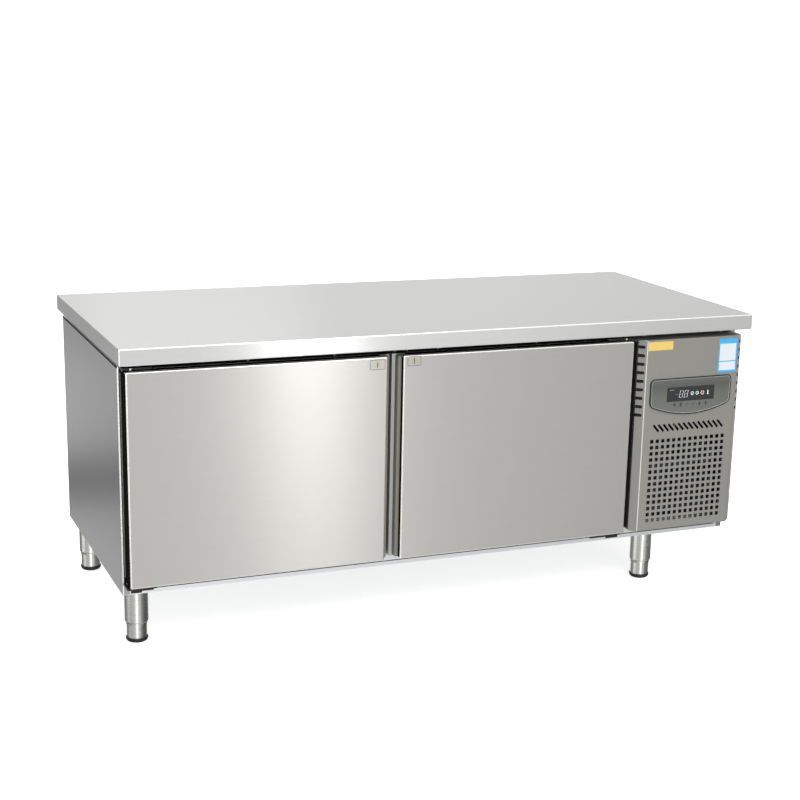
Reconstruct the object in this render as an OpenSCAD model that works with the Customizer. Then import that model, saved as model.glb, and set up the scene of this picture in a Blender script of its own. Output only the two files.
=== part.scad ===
// Under counter fridge: a two-door refrigerated worktable with its machine bay at the right.
// Frame: X to the right along the worktop, Y from the doors to the back, Z up from the floor.
// The origin is on the floor, under the middle of the worktop.

/* [Overall] */
// Width of the worktop
top_w = 1800; // [1650:10:2100]
// Depth of the worktop
top_d = 800; // [760:10:900]
// Height of the worktop above the floor
top_h = 800; // [780:5:900]

/* [Worktop] */
// Height of the folded edge
edge_h = 43; // [36:1:60]
// Width of the lip that turns in under the edge
edge_lip = 18; // [10:1:24]
// Thickness of the worktop steel
top_sheet = 1.2; // [1:0.1:1.5]
// Thickness of the board glued inside
board_t = 18; // [15:1:25]
// Width of the battens under the board
batten_w = 45; // [30:5:60]
// Distance of the battens from the cabinet's outer faces
batten_inset = 28; // [20:1:40]

/* [Cabinet] */
// Distance of the side panels from the worktop's sides
side_inset = 10; // [5:1:20]
// Distance of the front frame from the worktop's front
front_setback = 68; // [66:1:80]
// Distance of the back panel from the worktop's back
back_inset = 29; // [22:1:40]
// Shadow gap between the cabinet and the worktop
shadow_gap = 12; // [8:1:13]
// Height of the cabinet's underside above the floor
leg_h = 152; // [140:1:170]
// Thickness of the outer panels
sheet = 1; // [0.8:0.1:1.2]
// Width of the side panels' front folds
fold_w = 18; // [14:1:20]
// Width of the side panels' other folds
small_fold_w = 12; // [8:1:14]
// Width of the machine bay
bay_w = 349; // [340:1:380]
// Distance from the left panel to the middle of the mullion
left_bay_w = 706; // [600:1:730]
// Width of the strip that the machine cover screws to
bay_strip = 16; // [12:1:20]

/* [Insulated walls] */
// Left wall, outer face to inner face
side_wall = 51; // [45:1:60]
// Mullion between the two compartments
mullion_w = 58; // [50:1:70]
// Right wall, inner face to machine bay
bay_wall = 55; // [45:1:65]
// Floor, underside to inner face
floor_wall = 56; // [53:1:60]
// Ceiling, inner face to the cabinet's top
ceiling_wall = 25; // [22:1:28]
// Back wall, inner face to outer face
back_wall = 56; // [45:1:70]
// Thickness of the inner liners
liner_sheet = 1; // [0.8:0.1:1.5]
// Depth of the plastic frames at the door openings
breaker_d = 24; // [18:1:35]
// Joint between two slabs of foam
foam_joint = 0.3; // [0.2:0.1:0.8]

/* [Doors] */
// Thickness of a door without its gasket
door_t = 50; // [46:1:52]
// Distance of the door faces from the worktop's front
door_set = 5; // [3:1:6]
// Thickness of the door steel
door_sheet = 1; // [0.8:0.1:1.2]
// Gap between the left door and the cabinet's side
door_side_gap = 7; // [5:1:10]
// Gap between the two doors
door_mid_gap = 6.6; // [5:0.2:9]
// Gap between the right door and the machine cover
door_bay_gap = 22; // [20:1:26]
// Height of the doors' lower edge above the cabinet's underside
door_lift = 36; // [34:1:38]
// Gap between the doors' upper edge and the worktop
door_top_gap = 16; // [14:1:18]
// Depth of the front skin's folded sides
skin_return = 14; // [10:1:18]
// Depth of the inner pan's folded sides
pan_return = 12; // [8:1:14]
// Width of the black profile round the edge
rim_w = 8; // [6:1:10]
// Thickness of that profile at the top and bottom, where the pins turn
rim_cap = 12; // [11:1:16]
// How far the profile stands back from the skin
rim_step = 0.5; // [0.3:0.1:0.8]
// Thickness of the profile's lip behind the skin
rim_lip = 2; // [1.5:0.5:3]
// Width of the grip strip beyond the door face
grip_w = 19; // [16:1:24]
// Undercut behind the door face's pull edge
grip_undercut = 13; // [10:1:18]
// Depth of the finger groove
grip_depth = 14; // [12:1:15]
// Slope of the grip strip across its width
grip_slope = 8; // [5:1:9]
// Height of the pressed panel inside the gasket
plug_rise = 10; // [6:1:11]
// Gap between that panel and the gasket
plug_gap = 6; // [4:1:10]

/* [Gaskets] */
// Width of the gasket
gasket_w = 14; // [12:1:15]
// Distance of the gasket from the door opening
gasket_clear = 2; // [1:0.5:3]
// Gap between the gasket and the front frame
gasket_gap = 0.3; // [0.3:0.1:0.6]

/* [Hinges] */
// Radius of the hinge pins
pin_r = 5; // [4:0.5:6]
// Running clearance round a pin
pin_play = 0.06; // [0.03:0.01:0.1]
// Distance of the pins from the door's hinge edge
pin_in = 15; // [13:1:16]
// Distance of the pins behind the door's face
pin_back = 27; // [25:1:28]
// How far a pin reaches into the door
pin_depth = 10; // [8:1:10]
// Width of a hinge bracket
bracket_w = 78; // [60:1:90]
// Thickness of a hinge bracket
bracket_t = 5; // [4:0.5:6]
// Gap between a bracket and the door
bracket_gap = 3; // [2:0.2:4]
// How far a bracket reaches past its pin
bracket_nose = 13; // [10:1:15]
// Height of the flange on the frame
flange_h = 20; // [16:1:22]
// Gap between that flange and the gasket
flange_gap = 0.6; // [0.4:0.1:1]

/* [Legs] */
// Left legs, centre to the worktop's left side
leg_left_in = 59.5; // [56:0.5:80]
// Right legs, centre to the worktop's right side
leg_right_in = 239; // [200:1:260]
// Front legs, centre to the worktop's front
leg_front_in = 139; // [130:1:180]
// Back legs, centre to the worktop's back
leg_back_in = 70; // [66:1:110]
// Radius of a leg's sleeve
sleeve_r = 28.5; // [27.5:0.5:30]
// Wall of a leg's sleeve
sleeve_wall = 1.5; // [1.2:0.1:1.6]
// Height of the rolled-in collar at the sleeve's lower end
collar_h = 5; // [3:1:8]
// Wall of the collar
collar_wall = 1.2; // [1:0.1:1.5]
// Height of the shoulder between the collar and the sleeve
shoulder_h = 4; // [2:0.5:6]
// Height of the sleeve's lower end above the floor
sleeve_z = 47; // [45:1:60]
// Radius of the adjustable foot's tube
foot_r = 25.4; // [24.4:0.1:25.6]
// Wall of the foot's tube
foot_wall = 1.5; // [1.2:0.1:2]
// Play between the foot's tube and the collar
foot_play = 0.3; // [0.3:0.1:0.5]
// Length of the foot's tube inside the sleeve
foot_inside = 83; // [75:1:85]
// Radius of the plastic pad
pad_r = 29; // [28:0.5:30]
// Height of the pad's flange
pad_h = 12; // [9:1:14]
// Radius of the pad where it stands on the floor
pad_foot_r = 23; // [20:1:26]
// Height of the pad's rounded lower edge
pad_round = 5; // [3:1:7]
// Height of the pad's plug inside the tube
pad_plug = 16; // [10:1:20]
// Width of a mounting plate
plate_w = 62; // [60:1:64]
// Thickness of a mounting plate
plate_t = 3; // [2:0.5:4]
// Height of the spigot that centres the sleeve
spigot_h = 12; // [8:1:15]

/* [Shelves] */
// Height of the shelves above the compartment floor
shelf_h = 250; // [200:5:260]
// Depth of a shelf
shelf_d = 490; // [440:5:500]
// Distance of a shelf from the front frame
shelf_front = 38; // [30:1:45]
// Gap between a shelf and the liner's sides
shelf_gap = 9; // [8:1:12]
// Diameter of the shelf's frame rod
rod_d = 6; // [5:0.5:8]
// Diameter of the shelf's wires
wire_d = 3.2; // [2.6:0.2:4]
// Distance between two wires
wire_pitch = 27; // [22:1:40]
// Width of a shelf upright
upright_w = 20; // [16:1:24]
// Thickness of a shelf upright
upright_t = 4; // [3:0.5:5]
// Height of a shelf upright
upright_h = 400; // [360:10:420]
// Distance between two slots of an upright
upright_pitch = 25; // [20:1:30]
// Size of a shelf clip
clip_w = 12; // [10:1:14]

/* [Evaporators] */
// Width of an evaporator's cover
evap_w = 440; // [400:5:460]
// Height of an evaporator's cover
evap_h = 200; // [190:5:215]
// Depth of an evaporator's cover
evap_d = 100; // [98:1:110]
// Gap between the cover and the ceiling
evap_gap = 4; // [3:1:8]
// Radius of the evaporator fan
evap_fan_r = 52; // [45:1:55]
// Number of fins on an evaporator
evap_fins = 24; // [12:2:30]

/* [Machine bay] */
// Radius of the compressor's shell
comp_r = 84; // [75:1:88]
// Height of the compressor's shell
comp_h = 190; // [160:5:220]
// Distance of the compressor's axis from the back panel
comp_back = 310; // [240:5:320]
// Height of the rubber mounts
mount_h = 16; // [12:1:20]
// Width of the condenser
cond_w = 290; // [270:5:300]
// Height of the condenser
cond_h = 260; // [240:5:280]
// Depth of the condenser
cond_d = 56; // [50:1:60]
// Number of fins on the condenser
cond_fins = 30; // [20:2:36]
// Radius of the condenser fan
fan_r = 104; // [90:1:108]
// Depth of the fan shroud
shroud_d = 30; // [26:1:36]
// Radius of the refrigerant pipes
pipe_r = 4; // [3:0.5:5]
// Radius of the filter drier
drier_r = 11; // [9:1:13]
// Radius of the mains lead that the gland holds
gland_r = 4.5; // [3.5:0.5:5]

/* [Machine cover] */
// Width of the cover's bevels
bevel_w = 23; // [18:1:26]
// Depth of the cover's bevels
bevel_d = 10; // [8:1:14]
// Number of air slots on each bevel
side_slots = 9; // [5:1:11]
// Distance between two air slots
side_slot_pitch = 24.2; // [20:0.2:25]
// Height of an air slot
side_slot_h = 5; // [4:0.5:7]
// Distance of the first air slot from the cover's top
side_slot_drop = 19; // [14:1:22]
// Number of square holes along a side of the grille
grille_n = 14; // [10:1:15]
// Size of a square hole
hole_w = 10; // [8:0.5:12]
// Distance between two square holes
hole_pitch = 18.1; // [16:0.1:18.5]
// Distance of the first row of holes from the cover's top
grille_drop = 290; // [284:1:296]
// Length of a slanted slot
slant_len = 24; // [16:1:26]
// Width of a slanted slot
slant_w = 5; // [4:0.5:6]
// Tilt of the slanted slots
slant_tilt = 38; // [20:1:45]
// Distance between two slanted slots
slant_pitch = 16.3; // [15:0.1:16.8]
// Distance of the slanted slots from the cover's top
slant_drop = 253; // [251:1:256]

/* [Control panel] */
// Distance of the control panel from the cover's top
panel_drop = 111; // [100:1:112]
// Width of the control panel
panel_w = 264; // [255:1:270]
// Height of the control panel at its sides
panel_side_h = 79; // [76:1:84]
// Extra height of the bowed lower edge
panel_bow = 28; // [20:1:32]
// Radius of the panel's corners
panel_corner = 13; // [8:1:18]
// Width of the dark bezel
bezel_w = 4; // [3:0.5:6]
// How far the bezel stands out
bezel_t = 2.6; // [2:0.1:2.8]
// Thickness of the face plate
overlay_t = 1.5; // [1.2:0.1:2]
// Width of the display window
window_w = 154; // [140:1:160]
// Height of the display window
window_h = 41; // [36:1:44]
// Distance of the window's middle from the panel's top
window_drop = 47; // [44:1:48]
// Distance of the keys' middle from the panel's top
keys_drop = 77.5; // [76:0.5:80]
// Width of a key
key_w = 15; // [12:0.5:16]
// Height of a key
key_h = 12; // [10:0.5:13]
// Distance between two keys
key_pitch = 20.5; // [18:0.5:22]
// Travel of a key
key_travel = 0.4; // [0.3:0.1:0.5]

/* [Hidden] */
$fn = 64;

// Edges of the worktop
top_l = -top_w/2;
top_r = top_w/2;
top_f = -top_d/2;
top_b = top_d/2;
under_top = top_h - edge_h;

// Outer faces of the cabinet
cab_l = top_l + side_inset;
cab_r = top_r - side_inset;
cab_f = top_f + front_setback;
cab_b = top_b - back_inset;
cab_z0 = leg_h;
cab_z1 = under_top - shadow_gap;
bay_l = cab_r - bay_w;
bay_mid = (bay_l + cab_r)/2;
mullion_x = cab_l + left_bay_w;
frame_back = cab_f + sheet;
floor_top = cab_z0 + 2*sheet;

// Inner faces of the two compartments, each [left, right]
open_left = [cab_l + side_wall, mullion_x - mullion_w/2];
open_right = [mullion_x + mullion_w/2, bay_l - bay_wall];
openings = [open_left, open_right];
open_z0 = cab_z0 + floor_wall;
open_z1 = cab_z1 - ceiling_wall;
inner_back = cab_b - back_wall;
liner_f = frame_back + breaker_d;

// Doors
face_y = top_f + door_set;
door_z0 = cab_z0 + door_lift;
door_z1 = under_top - door_top_gap;
door_left_x = [cab_l + door_side_gap, mullion_x - door_mid_gap/2];
door_right_x = [mullion_x + door_mid_gap/2, bay_l - door_bay_gap];
pan_front = door_t - pan_return;
groove_back = skin_return + grip_depth;
axis_y = face_y + pin_back;
axis_left_x = door_left_x[0] + pin_in;
axis_right_x = door_right_x[1] - pin_in;

// Hinges: the bracket's edge and the nearer gasket's outer edge, from the pin's axis
pin_x = door_side_gap + pin_in;
bracket_edge = 2 - pin_x;
flange_edge = 4 - pin_x;
flange_t = 3;
gasket_reach = gasket_clear + gasket_w;
gasket_edge = min(open_left[0] - gasket_reach - axis_left_x,
                  axis_right_x - open_right[1] - gasket_reach);

// Legs, each [x, y]
leg_left_x = top_l + leg_left_in;
leg_right_x = top_r - leg_right_in;
leg_front_y = top_f + leg_front_in;
leg_back_y = top_b - leg_back_in;
legs = [[leg_left_x, leg_front_y], [leg_right_x, leg_front_y],
        [leg_left_x, leg_back_y], [leg_right_x, leg_back_y]];
plate_z = cab_z0 + sheet - plate_t;

// Shelves and evaporators
shelf_z = open_z0 + shelf_h;
shelf_f = cab_f + shelf_front;
shelf_b = shelf_f + shelf_d;
upright_end = 42;
upright_y = [shelf_f + upright_end, shelf_b - upright_end - upright_w];
evap_f = inner_back - evap_d;
evap_z1 = open_z1 - evap_gap;
evap_z0 = evap_z1 - evap_h;
evap_mid_z = (evap_z0 + evap_z1)/2;
evap_sheet = 1;
evap_rotor_front = evap_f + evap_sheet + 4;
evap_rotor_d = 16;
evap_motor_r = 17;
evap_motor_front = evap_rotor_front + evap_rotor_d + 2;
evap_motor_d = 20;
evap_coil_front = evap_motor_front + evap_motor_d + 5;
evap_coil_in = 14;
evap_strap_h = 14;
evap_hub_r = 15;
evap_shaft = 12;
evap_tube_r = 4.5;

// Machine bay
bay_in = [bay_l, cab_r - sheet];
base_t = 1.5;
base_margin = 18;
base_wall = 12;
base_front = 6;
base_back = 30;
base_top = floor_top + base_t;
comp_y = cab_b - comp_back;
comp_foot_t = 3;
comp_foot = [102, 78];
comp_z0 = base_top + mount_h + comp_foot_t;
comp_top_r = 46;
comp_dome = 34;
cond_f = frame_back + 12;
cond_b = cond_f + cond_d;
cond_tube_r = 4.8;
cond_z0 = base_top;
cond_z1 = cond_z0 + cond_h;
fan_z = cond_z0 + cond_h/2;
shroud_b = cond_b + shroud_d;
shroud_t = 1.2;
fan_play = 6;
rotor_d = 28;
rotor_front = shroud_b - rotor_d/2;
motor_r = 40;
motor_d = 54;
motor_front = rotor_front + rotor_d + 6;
post_r = 4;
shaft_r = 3;
hub_r = 26;
fan_shaft = 24;
fan_shaft_bore = 21;
strap_t = 2;
strap_h = 24;
strap_past = 14;
line_x = 26;
line_rise = 60;
line_wall_y = comp_y + 130;
line_front_y = cond_b - 12;
liquid_x = bay_mid - 120;
drier_len = 120;
cover_box = [68, 70];
cover_box_out = 26;
cover_box_z = comp_z0 + 46;
grommet_r = 12;
grommet_in = 14;
gland_x = cab_r - 70;
gland_z = cab_z0 + 70;
gland_wall = 4.5;
gland_flange = 4;
gland_len = 26;
gland_out = 14;
gland_nut = 5;

// Machine cover and its control panel
cover_mid = bay_mid - 3;
grille_top = door_z1 - grille_drop;
slant_z = door_z1 - slant_drop;
side_slot_top = door_z1 - side_slot_drop;
side_slot_reach = 17;
side_slot_back = 34;
panel_top = door_z1 - panel_drop;
window_z = panel_top - window_drop;
keys_z = panel_top - keys_drop;
key_names = ["power", "set", "up", "down", "light", "defrost"];
key_front = face_y - overlay_t - 0.5;
key_back = face_y + 1;
key_gap = 0.3;
board_y = key_back + key_travel + 0.3;
housing_drop = 53;
housing_z = panel_top - housing_drop;
housing_w = 190;
housing_h = 92;
housing_d = 30;
housing_wall = 2;

// Shared shapes

// A box between two values on each axis
module block(x, y, z)
    translate([x[0], y[0], z[0]])
        cube([x[1] - x[0], y[1] - y[0], z[1] - z[0]]);

// A flat shape drawn in X and Z, as a plate from y to y + t
module upright_plate(y, t)
    translate([0, y + t, 0]) rotate([90, 0, 0]) linear_extrude(t) children();

// A rectangle drawn between two values on each axis
module rect(x, z)
    translate([x[0], z[0]]) square([x[1] - x[0], z[1] - z[0]]);

// A rod along Y from y0 to y1
module rod_y(x, z, r, y0, y1)
    translate([x, y0, z]) rotate([-90, 0, 0]) cylinder(r = r, h = y1 - y0);

// A rod along X from x0 to x1
module rod_x(y, z, r, x0, x1)
    translate([x0, y, z]) rotate([0, 90, 0]) cylinder(r = r, h = x1 - x0);

// A pipe through a list of points, each leg along one axis, with round corners
module pipe(points, r) {
    for (i = [0:len(points) - 2]) {
        a = points[i];
        step = points[i + 1] - a;
        turn = step[0] != 0 ? [0, 90*sign(step[0]), 0]
             : step[1] != 0 ? [-90*sign(step[1]), 0, 0]
             : [step[2] > 0 ? 0 : 180, 0, 0];
        translate(a) rotate(turn) cylinder(r = r, h = norm(step));
    }
    for (i = [1:1:len(points) - 2]) translate(points[i]) sphere(r = r);
}

function grow(range, by) = [range[0] - by, range[1] + by];
function mid(range) = (range[0] + range[1])/2;

// Worktop

module worktop_skin() color("gainsboro") difference() {
    block([top_l, top_r], [top_f, top_b], [under_top, top_h]);
    block(grow([top_l, top_r], -top_sheet), grow([top_f, top_b], -top_sheet),
          [under_top + top_sheet, top_h - top_sheet]);
    block(grow([top_l, top_r], -edge_lip), grow([top_f, top_b], -edge_lip),
          [under_top - 1, under_top + top_sheet + 1]);
}

// The board fills the tray, and a ring of battens under it stands on the cabinet
module worktop_core() color("burlywood") union() {
    board_z0 = top_h - top_sheet - board_t;
    batten_z0 = cab_z1 - sheet;
    batten_x = grow([cab_l, cab_r], -batten_inset);
    batten_y = grow([cab_f, cab_b], -batten_inset);
    block(grow([top_l, top_r], -top_sheet), grow([top_f, top_b], -top_sheet),
          [board_z0, top_h - top_sheet]);
    difference() {
        block(batten_x, batten_y, [batten_z0, board_z0]);
        block(grow(batten_x, -batten_w), grow(batten_y, -batten_w),
              [batten_z0 - 1, board_z0 + 1]);
    }
    block([mullion_x - batten_w/2, mullion_x + batten_w/2], batten_y, [batten_z0, board_z0]);
}

// Cabinet shell

// The left panel: a sheet with folds at its front, back, top and bottom
module side_panel() union() {
    block([0, sheet], [cab_f, cab_b], [cab_z0, cab_z1]);
    block([0, fold_w], [cab_f, cab_f + sheet], [cab_z0, cab_z1]);
    block([0, small_fold_w], [cab_b - sheet, cab_b], [cab_z0, cab_z1]);
    block([0, small_fold_w], [cab_f, cab_b], [cab_z1 - sheet, cab_z1]);
    block([0, small_fold_w], [cab_f, cab_b], [cab_z0, cab_z0 + sheet]);
}

module side_panel_left() color("silver")
    translate([cab_l, 0, 0]) side_panel();

module side_panel_right() color("silver")
    translate([cab_r, 0, 0]) mirror([1, 0, 0]) side_panel();

// The back sheet of the cold part, and the sheet between the foam and the machine bay
module back_panel() color("darkgray") union() {
    block([cab_l + small_fold_w, bay_l - sheet - foam_joint], [cab_b - sheet, cab_b],
          [cab_z0, cab_z1]);
    block([bay_l - sheet, bay_l], [frame_back, cab_b], [floor_top, cab_z1 - sheet]);
}

module bottom_panel() color("darkgray")
    block([cab_l + sheet, cab_r - sheet], [frame_back, cab_b - sheet],
          [cab_z0 + sheet, floor_top]);

// Rails and stiles, welded end to end
module front_frame() color("silver") union() {
    rail_x = [cab_l + fold_w, cab_r - fold_w];
    seam = 0.2;
    stile_z = grow([open_z0, open_z1], -seam);
    y = [cab_f, frame_back];
    block(rail_x, y, [cab_z0, open_z0]);
    block(rail_x, [cab_f, cab_f + fold_w], [cab_z0, cab_z0 + sheet]);
    block(rail_x, y, [open_z1, cab_z1]);
    block([rail_x[0], open_left[0]], y, stile_z);
    block([open_left[1], open_right[0]], y, stile_z);
    block([open_right[1], bay_l + bay_strip], y, stile_z);
}

// Foam, as slabs: floor, ceiling, left wall, mullion, right wall and a back for each compartment
module cabinet_insulation() color("khaki") {
    x = [cab_l + sheet, bay_l - sheet];
    y = [frame_back, cab_b - sheet];
    hollow_z = grow([open_z0, open_z1], liner_sheet);
    slab_z = grow(hollow_z, -foam_joint);
    block(x, y, [floor_top, hollow_z[0]]);
    block(x, y, [hollow_z[1], cab_z1 - sheet]);
    block([x[0], open_left[0] - liner_sheet], y, slab_z);
    block([open_left[1] + liner_sheet, open_right[0] - liner_sheet], y, slab_z);
    block([open_right[1] + liner_sheet, x[1]], y, slab_z);
    for (o = openings)
        block(grow(o, liner_sheet - foam_joint), [inner_back + liner_sheet, y[1]], slab_z);
}

module inner_liners() color("lightgray")
    for (o = openings) difference() {
        block(grow(o, liner_sheet), [liner_f, inner_back + liner_sheet],
              grow([open_z0, open_z1], liner_sheet));
        block(o, [liner_f - 1, inner_back], [open_z0, open_z1]);
    }

module breaker_frames() color("dimgray")
    for (o = openings) difference() {
        block(grow(o, liner_sheet), [frame_back, liner_f], grow([open_z0, open_z1], liner_sheet));
        block(o, [frame_back - 1, liner_f + 1], [open_z0, open_z1]);
    }

// Shelves

// One shelf: a rod frame with wires from front to back
module wire_shelf(o) {
    x = grow(o, -shelf_gap - rod_d/2);
    y = [shelf_f + rod_d/2, shelf_b - rod_d/2];
    wires = floor((x[1] - x[0] - wire_pitch)/wire_pitch);
    first = mid(x) - (wires - 1)*wire_pitch/2;
    weld = 0.5;
    for (cy = y) rod_x(cy, shelf_z, rod_d/2, x[0], x[1]);
    for (cx = x) rod_y(cx, shelf_z, rod_d/2, y[0], y[1]);
    for (cx = x, cy = y) translate([cx, cy, shelf_z]) sphere(r = rod_d/2);
    rod_x(mid(y), shelf_z, rod_d/2, x[0], x[1]);
    for (i = [0:wires - 1])
        rod_y(first + i*wire_pitch, shelf_z + (rod_d + wire_d)/2 - weld, wire_d/2, y[0], y[1]);
}

module wire_shelves() color("white")
    for (o = openings) wire_shelf(o);

// One slotted upright on the left wall, and the clip that carries the shelf
module shelf_upright() {
    z0 = (open_z0 + open_z1)/2 - upright_h/2;
    slot_h = 8;
    slot_w = 8;
    slots = floor(upright_h/upright_pitch) - 1;
    difference() {
        block([0, upright_t], [0, upright_w], [z0, z0 + upright_h]);
        for (i = [1:slots])
            block([upright_t - 1.5, upright_t + 1], [upright_w/2 - slot_w/2, upright_w/2 + slot_w/2],
                  [z0 + i*upright_pitch - slot_h/2, z0 + i*upright_pitch + slot_h/2]);
    }
}

module shelf_clip() {
    lip_t = 2.5;
    seat = shelf_z - rod_d/2;
    block([upright_t + 0.2, upright_t + clip_w], [upright_w/2 - clip_w/2, upright_w/2 + clip_w/2],
          [seat - lip_t, seat]);
    block([upright_t + 0.2, upright_t + 0.2 + lip_t],
          [upright_w/2 - clip_w/2, upright_w/2 + clip_w/2], [seat - clip_w, seat - lip_t]);
}

module shelf_supports() color("silver")
    for (o = openings, y = upright_y) {
        translate([o[0], y, 0]) {
            shelf_upright();
            shelf_clip();
        }
        translate([o[1], y, 0]) mirror([1, 0, 0]) {
            shelf_upright();
            shelf_clip();
        }
    }

// Evaporators

// Two serpentine tubes, one behind the other, through a pack of flat fins
module finned_coil(x, y, z, fins, tube_r, rows) {
    fin_t = 0.6;
    fin_play = 0.1;
    pitch_z = (z[1] - z[0])/rows;
    tube_x = grow(x, -tube_r);
    fin_x = grow(tube_x, -2*tube_r);
    tube_y = [mid(y) - (y[1] - y[0])/5, mid(y) + (y[1] - y[0])/5];
    for (cy = tube_y)
        pipe([for (i = [0:rows - 1], end = [0, 1])
              [tube_x[(i + end) % 2], cy, z[0] + (i + 0.5)*pitch_z]], tube_r);
    for (i = [0:fins - 1])
        translate([fin_x[0] + (i + 0.5)*(fin_x[1] - fin_x[0])/fins, 0, 0])
            rotate([90, 0, 90]) linear_extrude(fin_t) difference() {
                rect(y, z);
                for (cy = tube_y, j = [0:rows - 1])
                    translate([cy, z[0] + (j + 0.5)*pitch_z]) circle(r = tube_r + fin_play);
            }
}

module evaporator_coils() color("lightsteelblue")
    for (o = openings)
        finned_coil(grow([mid(o), mid(o)], evap_w/2 - evap_coil_in),
                    [evap_coil_front, inner_back], grow([evap_z0, evap_z1], 2 - evap_coil_in),
                    evap_fins, evap_tube_r, 5);

// A sheet cover, open at the back, with a fan guard and air slots
module duct_cover(o) {
    x = grow([mid(o), mid(o)], evap_w/2);
    guard_pitch = 10;
    guard_bar = 3;
    slot = [72, 6];
    slot_pitch = 16;
    difference() {
        block(x, [evap_f, inner_back], [evap_z0, evap_z1]);
        block(grow(x, -evap_sheet), [evap_f + evap_sheet, inner_back + 1],
              grow([evap_z0, evap_z1], -evap_sheet));
        upright_plate(evap_f - 1, evap_sheet + 2) difference() {
            translate([mid(o), evap_mid_z]) for (r = [evap_fan_r:-guard_pitch:guard_pitch])
                difference() {
                    circle(r = r);
                    circle(r = r - guard_pitch + guard_bar);
                }
            rect([mid(o) - guard_bar/2, mid(o) + guard_bar/2], [evap_z0, evap_z1]);
            rect(x, [evap_mid_z - guard_bar/2, evap_mid_z + guard_bar/2]);
        }
        for (side = [-1, 1], i = [-4:4])
            translate([mid(o) + side*(evap_w/2 + evap_fan_r)/2 - slot[0]/2, evap_f - 1,
                       evap_mid_z + i*slot_pitch - slot[1]/2])
                cube([slot[0], evap_sheet + 2, slot[1]]);
    }
}

module duct_covers() color("whitesmoke")
    for (o = openings) duct_cover(o);

// Motors on a strap whose two posts stand on the cover's front
module evaporator_motors() color("dimgray")
    for (o = openings) {
        strap_y = evap_motor_front + evap_motor_d;
        post_x = evap_fan_r + 2*post_r;
        strap_x = post_x + post_r;
        difference() {
            union() {
                rod_y(mid(o), evap_mid_z, evap_motor_r, evap_motor_front, strap_y);
                block([mid(o) - strap_x, mid(o) + strap_x], [strap_y - strap_t, strap_y],
                      [evap_mid_z - evap_strap_h/2, evap_mid_z + evap_strap_h/2]);
                for (side = [-1, 1])
                    rod_y(mid(o) + side*post_x, evap_mid_z, post_r, evap_f + evap_sheet,
                          strap_y - strap_t/2);
            }
            rod_y(mid(o), evap_mid_z, shaft_r + pin_play, evap_motor_front - 1,
                  evap_motor_front + evap_shaft + 1);
        }
    }

// A rotor on a shaft along Y: a hub and five pitched blades
module fan_rotor(x, y, z, r, depth, hub_r, shaft_len) {
    blades = 5;
    blade_t = 1.5;
    pitch = 32;
    chord = 0.92*depth/sin(pitch);
    translate([x, y, z]) {
        rotate([-90, 0, 0]) cylinder(r = hub_r, h = depth);
        rotate([-90, 0, 0]) cylinder(r = shaft_r, h = depth + shaft_len);
        for (i = [0:blades - 1]) intersection() {
            rotate([0, i*360/blades, 0]) translate([hub_r - 1, depth/2, 0]) rotate([pitch, 0, 0])
                translate([0, -blade_t/2, -chord/2]) cube([r - hub_r + 2, blade_t, chord]);
            rotate([-90, 0, 0]) cylinder(r = r, h = depth);
        }
    }
}

module evaporator_fan(o)
    fan_rotor(mid(o), evap_rotor_front, evap_mid_z, evap_fan_r - 4, evap_rotor_d, evap_hub_r,
              evap_shaft);

// Machine bay

// A tray on the bottom panel, which carries the compressor and the condenser
module machine_base() color("gray") difference() {
    x = grow(bay_in, -base_margin);
    y = [frame_back + base_front, cab_b - base_back];
    block(x, y, [floor_top, floor_top + base_wall]);
    block(grow(x, -base_t), grow(y, -base_t), [base_top, floor_top + base_wall + 1]);
}

// The hermetic shell with a domed top, on its foot plate
module compressor() color("black") union() {
    z1 = comp_z0 + comp_h;
    translate([bay_mid, comp_y, 0]) {
        translate([0, 0, comp_z0]) cylinder(r = comp_r, h = comp_h - comp_dome);
        translate([0, 0, z1 - comp_dome])
            cylinder(r1 = comp_r, r2 = comp_top_r, h = comp_dome, $fn = 96);
        block([-comp_foot[0], comp_foot[0]], [-comp_foot[1], comp_foot[1]],
              [comp_z0 - comp_foot_t, comp_z0]);
    }
}

// Four rubber mounts and the cover over the terminals
module compressor_fittings() color("darkslategray") {
    for (sx = [-1, 1], sy = [-1, 1])
        translate([bay_mid + sx*(comp_foot[0] - grommet_in),
                   comp_y + sy*(comp_foot[1] - grommet_in), base_top])
            cylinder(r = grommet_r, h = mount_h);
    difference() {
        block([bay_mid - cover_box[0]/2, bay_mid + cover_box[0]/2],
              [comp_y - comp_r - cover_box_out, comp_y - comp_r/2],
              [cover_box_z, cover_box_z + cover_box[1]]);
        translate([bay_mid, comp_y, comp_z0]) cylinder(r = comp_r + 0.1, h = comp_h);
    }
}

module condenser_coil() color("dimgray")
    finned_coil(grow([bay_mid, bay_mid], cond_w/2), [cond_f, cond_b], [cond_z0, cond_z1],
                cond_fins, cond_tube_r, 6);

// A box behind the condenser with a round mouth for the fan
module fan_shroud() color("gray") difference() {
    x = grow([bay_mid, bay_mid], cond_w/2);
    block(x, [cond_b, shroud_b], [cond_z0, cond_z1]);
    block(grow(x, -shroud_t), [cond_b - 1, shroud_b - shroud_t],
          grow([cond_z0, cond_z1], -shroud_t));
    rod_y(bay_mid, fan_z, fan_r + fan_play, shroud_b - shroud_t - 1, shroud_b + 1);
}

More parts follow.
